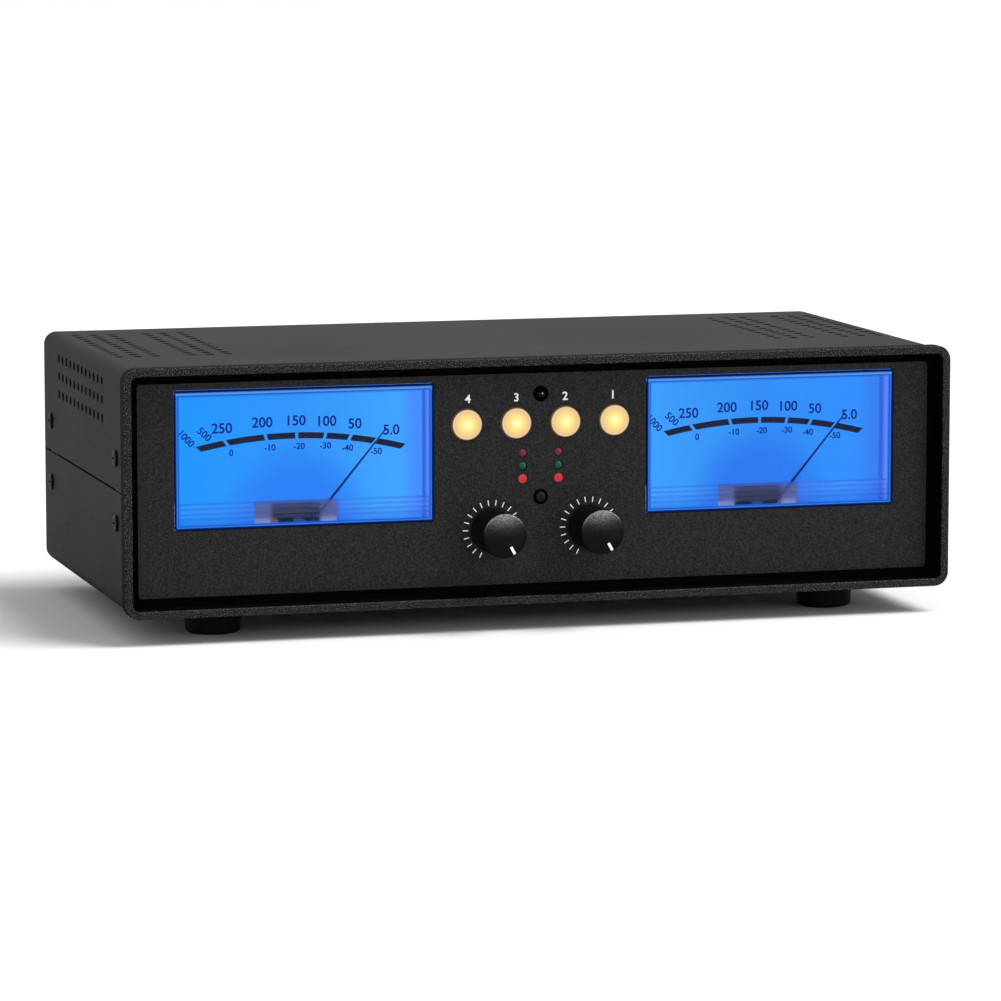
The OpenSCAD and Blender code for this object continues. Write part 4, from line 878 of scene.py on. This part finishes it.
# the face is crowned, and painted light makes the blasted skin paler where it turns up
# and nearly black where it turns down; the turned side is smooth and dark
_, knob_crown, knob_place = crowned(knob_skin, knob_x, knob_z, 8.5, fold=True)
knob_grit = add(knob_skin, "ShaderNodeTexNoise",
                {"Scale": 1000 / 0.4, "Detail": 2.0, "Roughness": 0.6}, {"Vector": knob_place})
knob_height = add(knob_skin, "ShaderNodeMath", {"operation": "MULTIPLY_ADD", 1: 0.06 * mm},
                  {0: knob_grit.outputs["Fac"], 2: knob_crown})
knob_bump = add(knob_skin, "ShaderNodeBump", {"Strength": 1.0, "Distance": 1.0},
                {"Height": knob_height.outputs[0]})
knob_up = add(knob_skin, "ShaderNodeVectorMath", {"operation": "DOT_PRODUCT", 1: (-0.1, 0, 1)},
              {0: knob_bump.outputs["Normal"]})
knob_share = add(knob_skin, "ShaderNodeMapRange", {"From Min": -0.65, "From Max": 0.65},
                 {"Value": knob_up.outputs["Value"]})
knob_painted_light = add(knob_skin, "ShaderNodeValToRGB", links={0: knob_share.outputs["Result"]})
knob_painted_light.color_ramp.elements[0].color = linear("040404")
knob_painted_light.color_ramp.elements[1].color = linear("a0a0a0")
for share, tone in ((0.5, "0e0e0e"), (0.7, "2a2a2a"), (0.86, "646464")):
    knob_painted_light.color_ramp.elements.new(share).color = linear(tone)
knob_sand = add(knob_skin, "ShaderNodeMapRange",
                {"From Min": 0.35, "From Max": 0.65, "To Min": 0.35, "To Max": 1.5},
                {"Value": knob_grit.outputs["Fac"]})
knob_tone = add(knob_skin, "ShaderNodeMix",
                {"data_type": "RGBA", "blend_type": "MULTIPLY", 0: 1.0},
                {6: knob_painted_light.outputs[0], 7: knob_sand.outputs["Result"]})
knob_face = add(knob_skin, "ShaderNodeBsdfPrincipled",
                {"IOR": 1.5, "Specular IOR Level": 0.1, "Roughness": 0.35},
                {"Base Color": knob_tone.outputs[2], "Normal": knob_bump.outputs["Normal"]})
knob_dark = add(knob_skin, "ShaderNodeMix",
                {"data_type": "RGBA", 6: linear("030303"), 7: linear("080808")},
                {0: knob_grit.outputs["Fac"]})
knob_rim = add(knob_skin, "ShaderNodeBsdfPrincipled",
               {"Specular IOR Level": 0.08, "Roughness": 0.6},
               {"Base Color": knob_dark.outputs[2]})
knob_turned = add(knob_skin, "ShaderNodeNewGeometry")
knob_normal = add(knob_skin, "ShaderNodeSeparateXYZ", links={0: knob_turned.outputs["Normal"]})
knob_front = add(knob_skin, "ShaderNodeMapRange", {"From Min": -0.3, "From Max": -0.7},
                 {"Value": knob_normal.outputs["Y"]})
knob_both = add(knob_skin, "ShaderNodeMixShader", links={
    0: knob_front.outputs["Result"], 1: knob_rim.outputs[0], 2: knob_face.outputs[0]})
finish_with(knob_skin, knob_both.outputs[0])
dress(["knob_left", "knob_right"], knob_skin)

# the paint fills the groove and stands a trace proud of the knob's face
pointer_turn, face_depth = -29, 8.7
line_wide, line_deep, line_long, line_edge = 0.9, 0.24, 2.7, 0.05
line_far, line_sunk = 5.45, 0.08
for side, word in ((-1, "left"), (1, "right")):
    line_form = bmesh.new()
    bmesh.ops.create_cube(line_form, size=1)
    bmesh.ops.scale(line_form, verts=line_form.verts, vec=(
        line_wide * mm, line_deep * mm, line_long * mm))
    bmesh.ops.bevel(line_form, geom=line_form.edges[:], offset=line_edge * mm, segments=2,
                    profile=0.5, affect="EDGES", material=-1)
    bmesh.ops.translate(line_form, verts=line_form.verts, vec=(0, 0, -line_far * mm))
    bmesh.ops.rotate(line_form, verts=line_form.verts, cent=(0, 0, 0),
                     matrix=Matrix.Rotation(math.radians(pointer_turn), 3, "Y"))
    bmesh.ops.translate(line_form, verts=line_form.verts, vec=(
        side * knob_x * mm, front_y + (-face_depth + line_sunk) * mm, bezel_z + knob_z * mm))
    piece("knob_pointer_" + word, line_form, white_ink, "control_" + word)
dress(["pot_shaft_left", "pot_shaft_right", "pot_bodies"], zinc_plate)


# ---------------------------------------------------------------------------
# Boards. Green glass-epoxy laminate that carries the relays and sockets,
# a little cloudy where the glass cloth shows under the mask.
laminate = moulded("solder_masked_laminate", "0f4a2c", "0b3a22", 0.35, 1.5)
dress(["control_board", "main_board"], laminate)
dress(["relays"], moulded("relay_case_plastic", "1c2230", "141823", 0.35, 4.0))


# ---------------------------------------------------------------------------
# Rear sockets. Nickel-plated shells pushed on red and cream insulators, in
# five pairs, one row above the other.
dress(["phono_shells"], plated_metal("nickel_plated_brass", "c4c0b6", "9a968c", 0.22, 2.0))
dress(["phono_collars_red"], moulded("red_polypropylene", "a81a1c", "8c1214", 0.35, 2.0))
dress(["phono_collars_white"], moulded("cream_polypropylene", "e2dfd2", "cfcbbb", 0.35, 2.0))
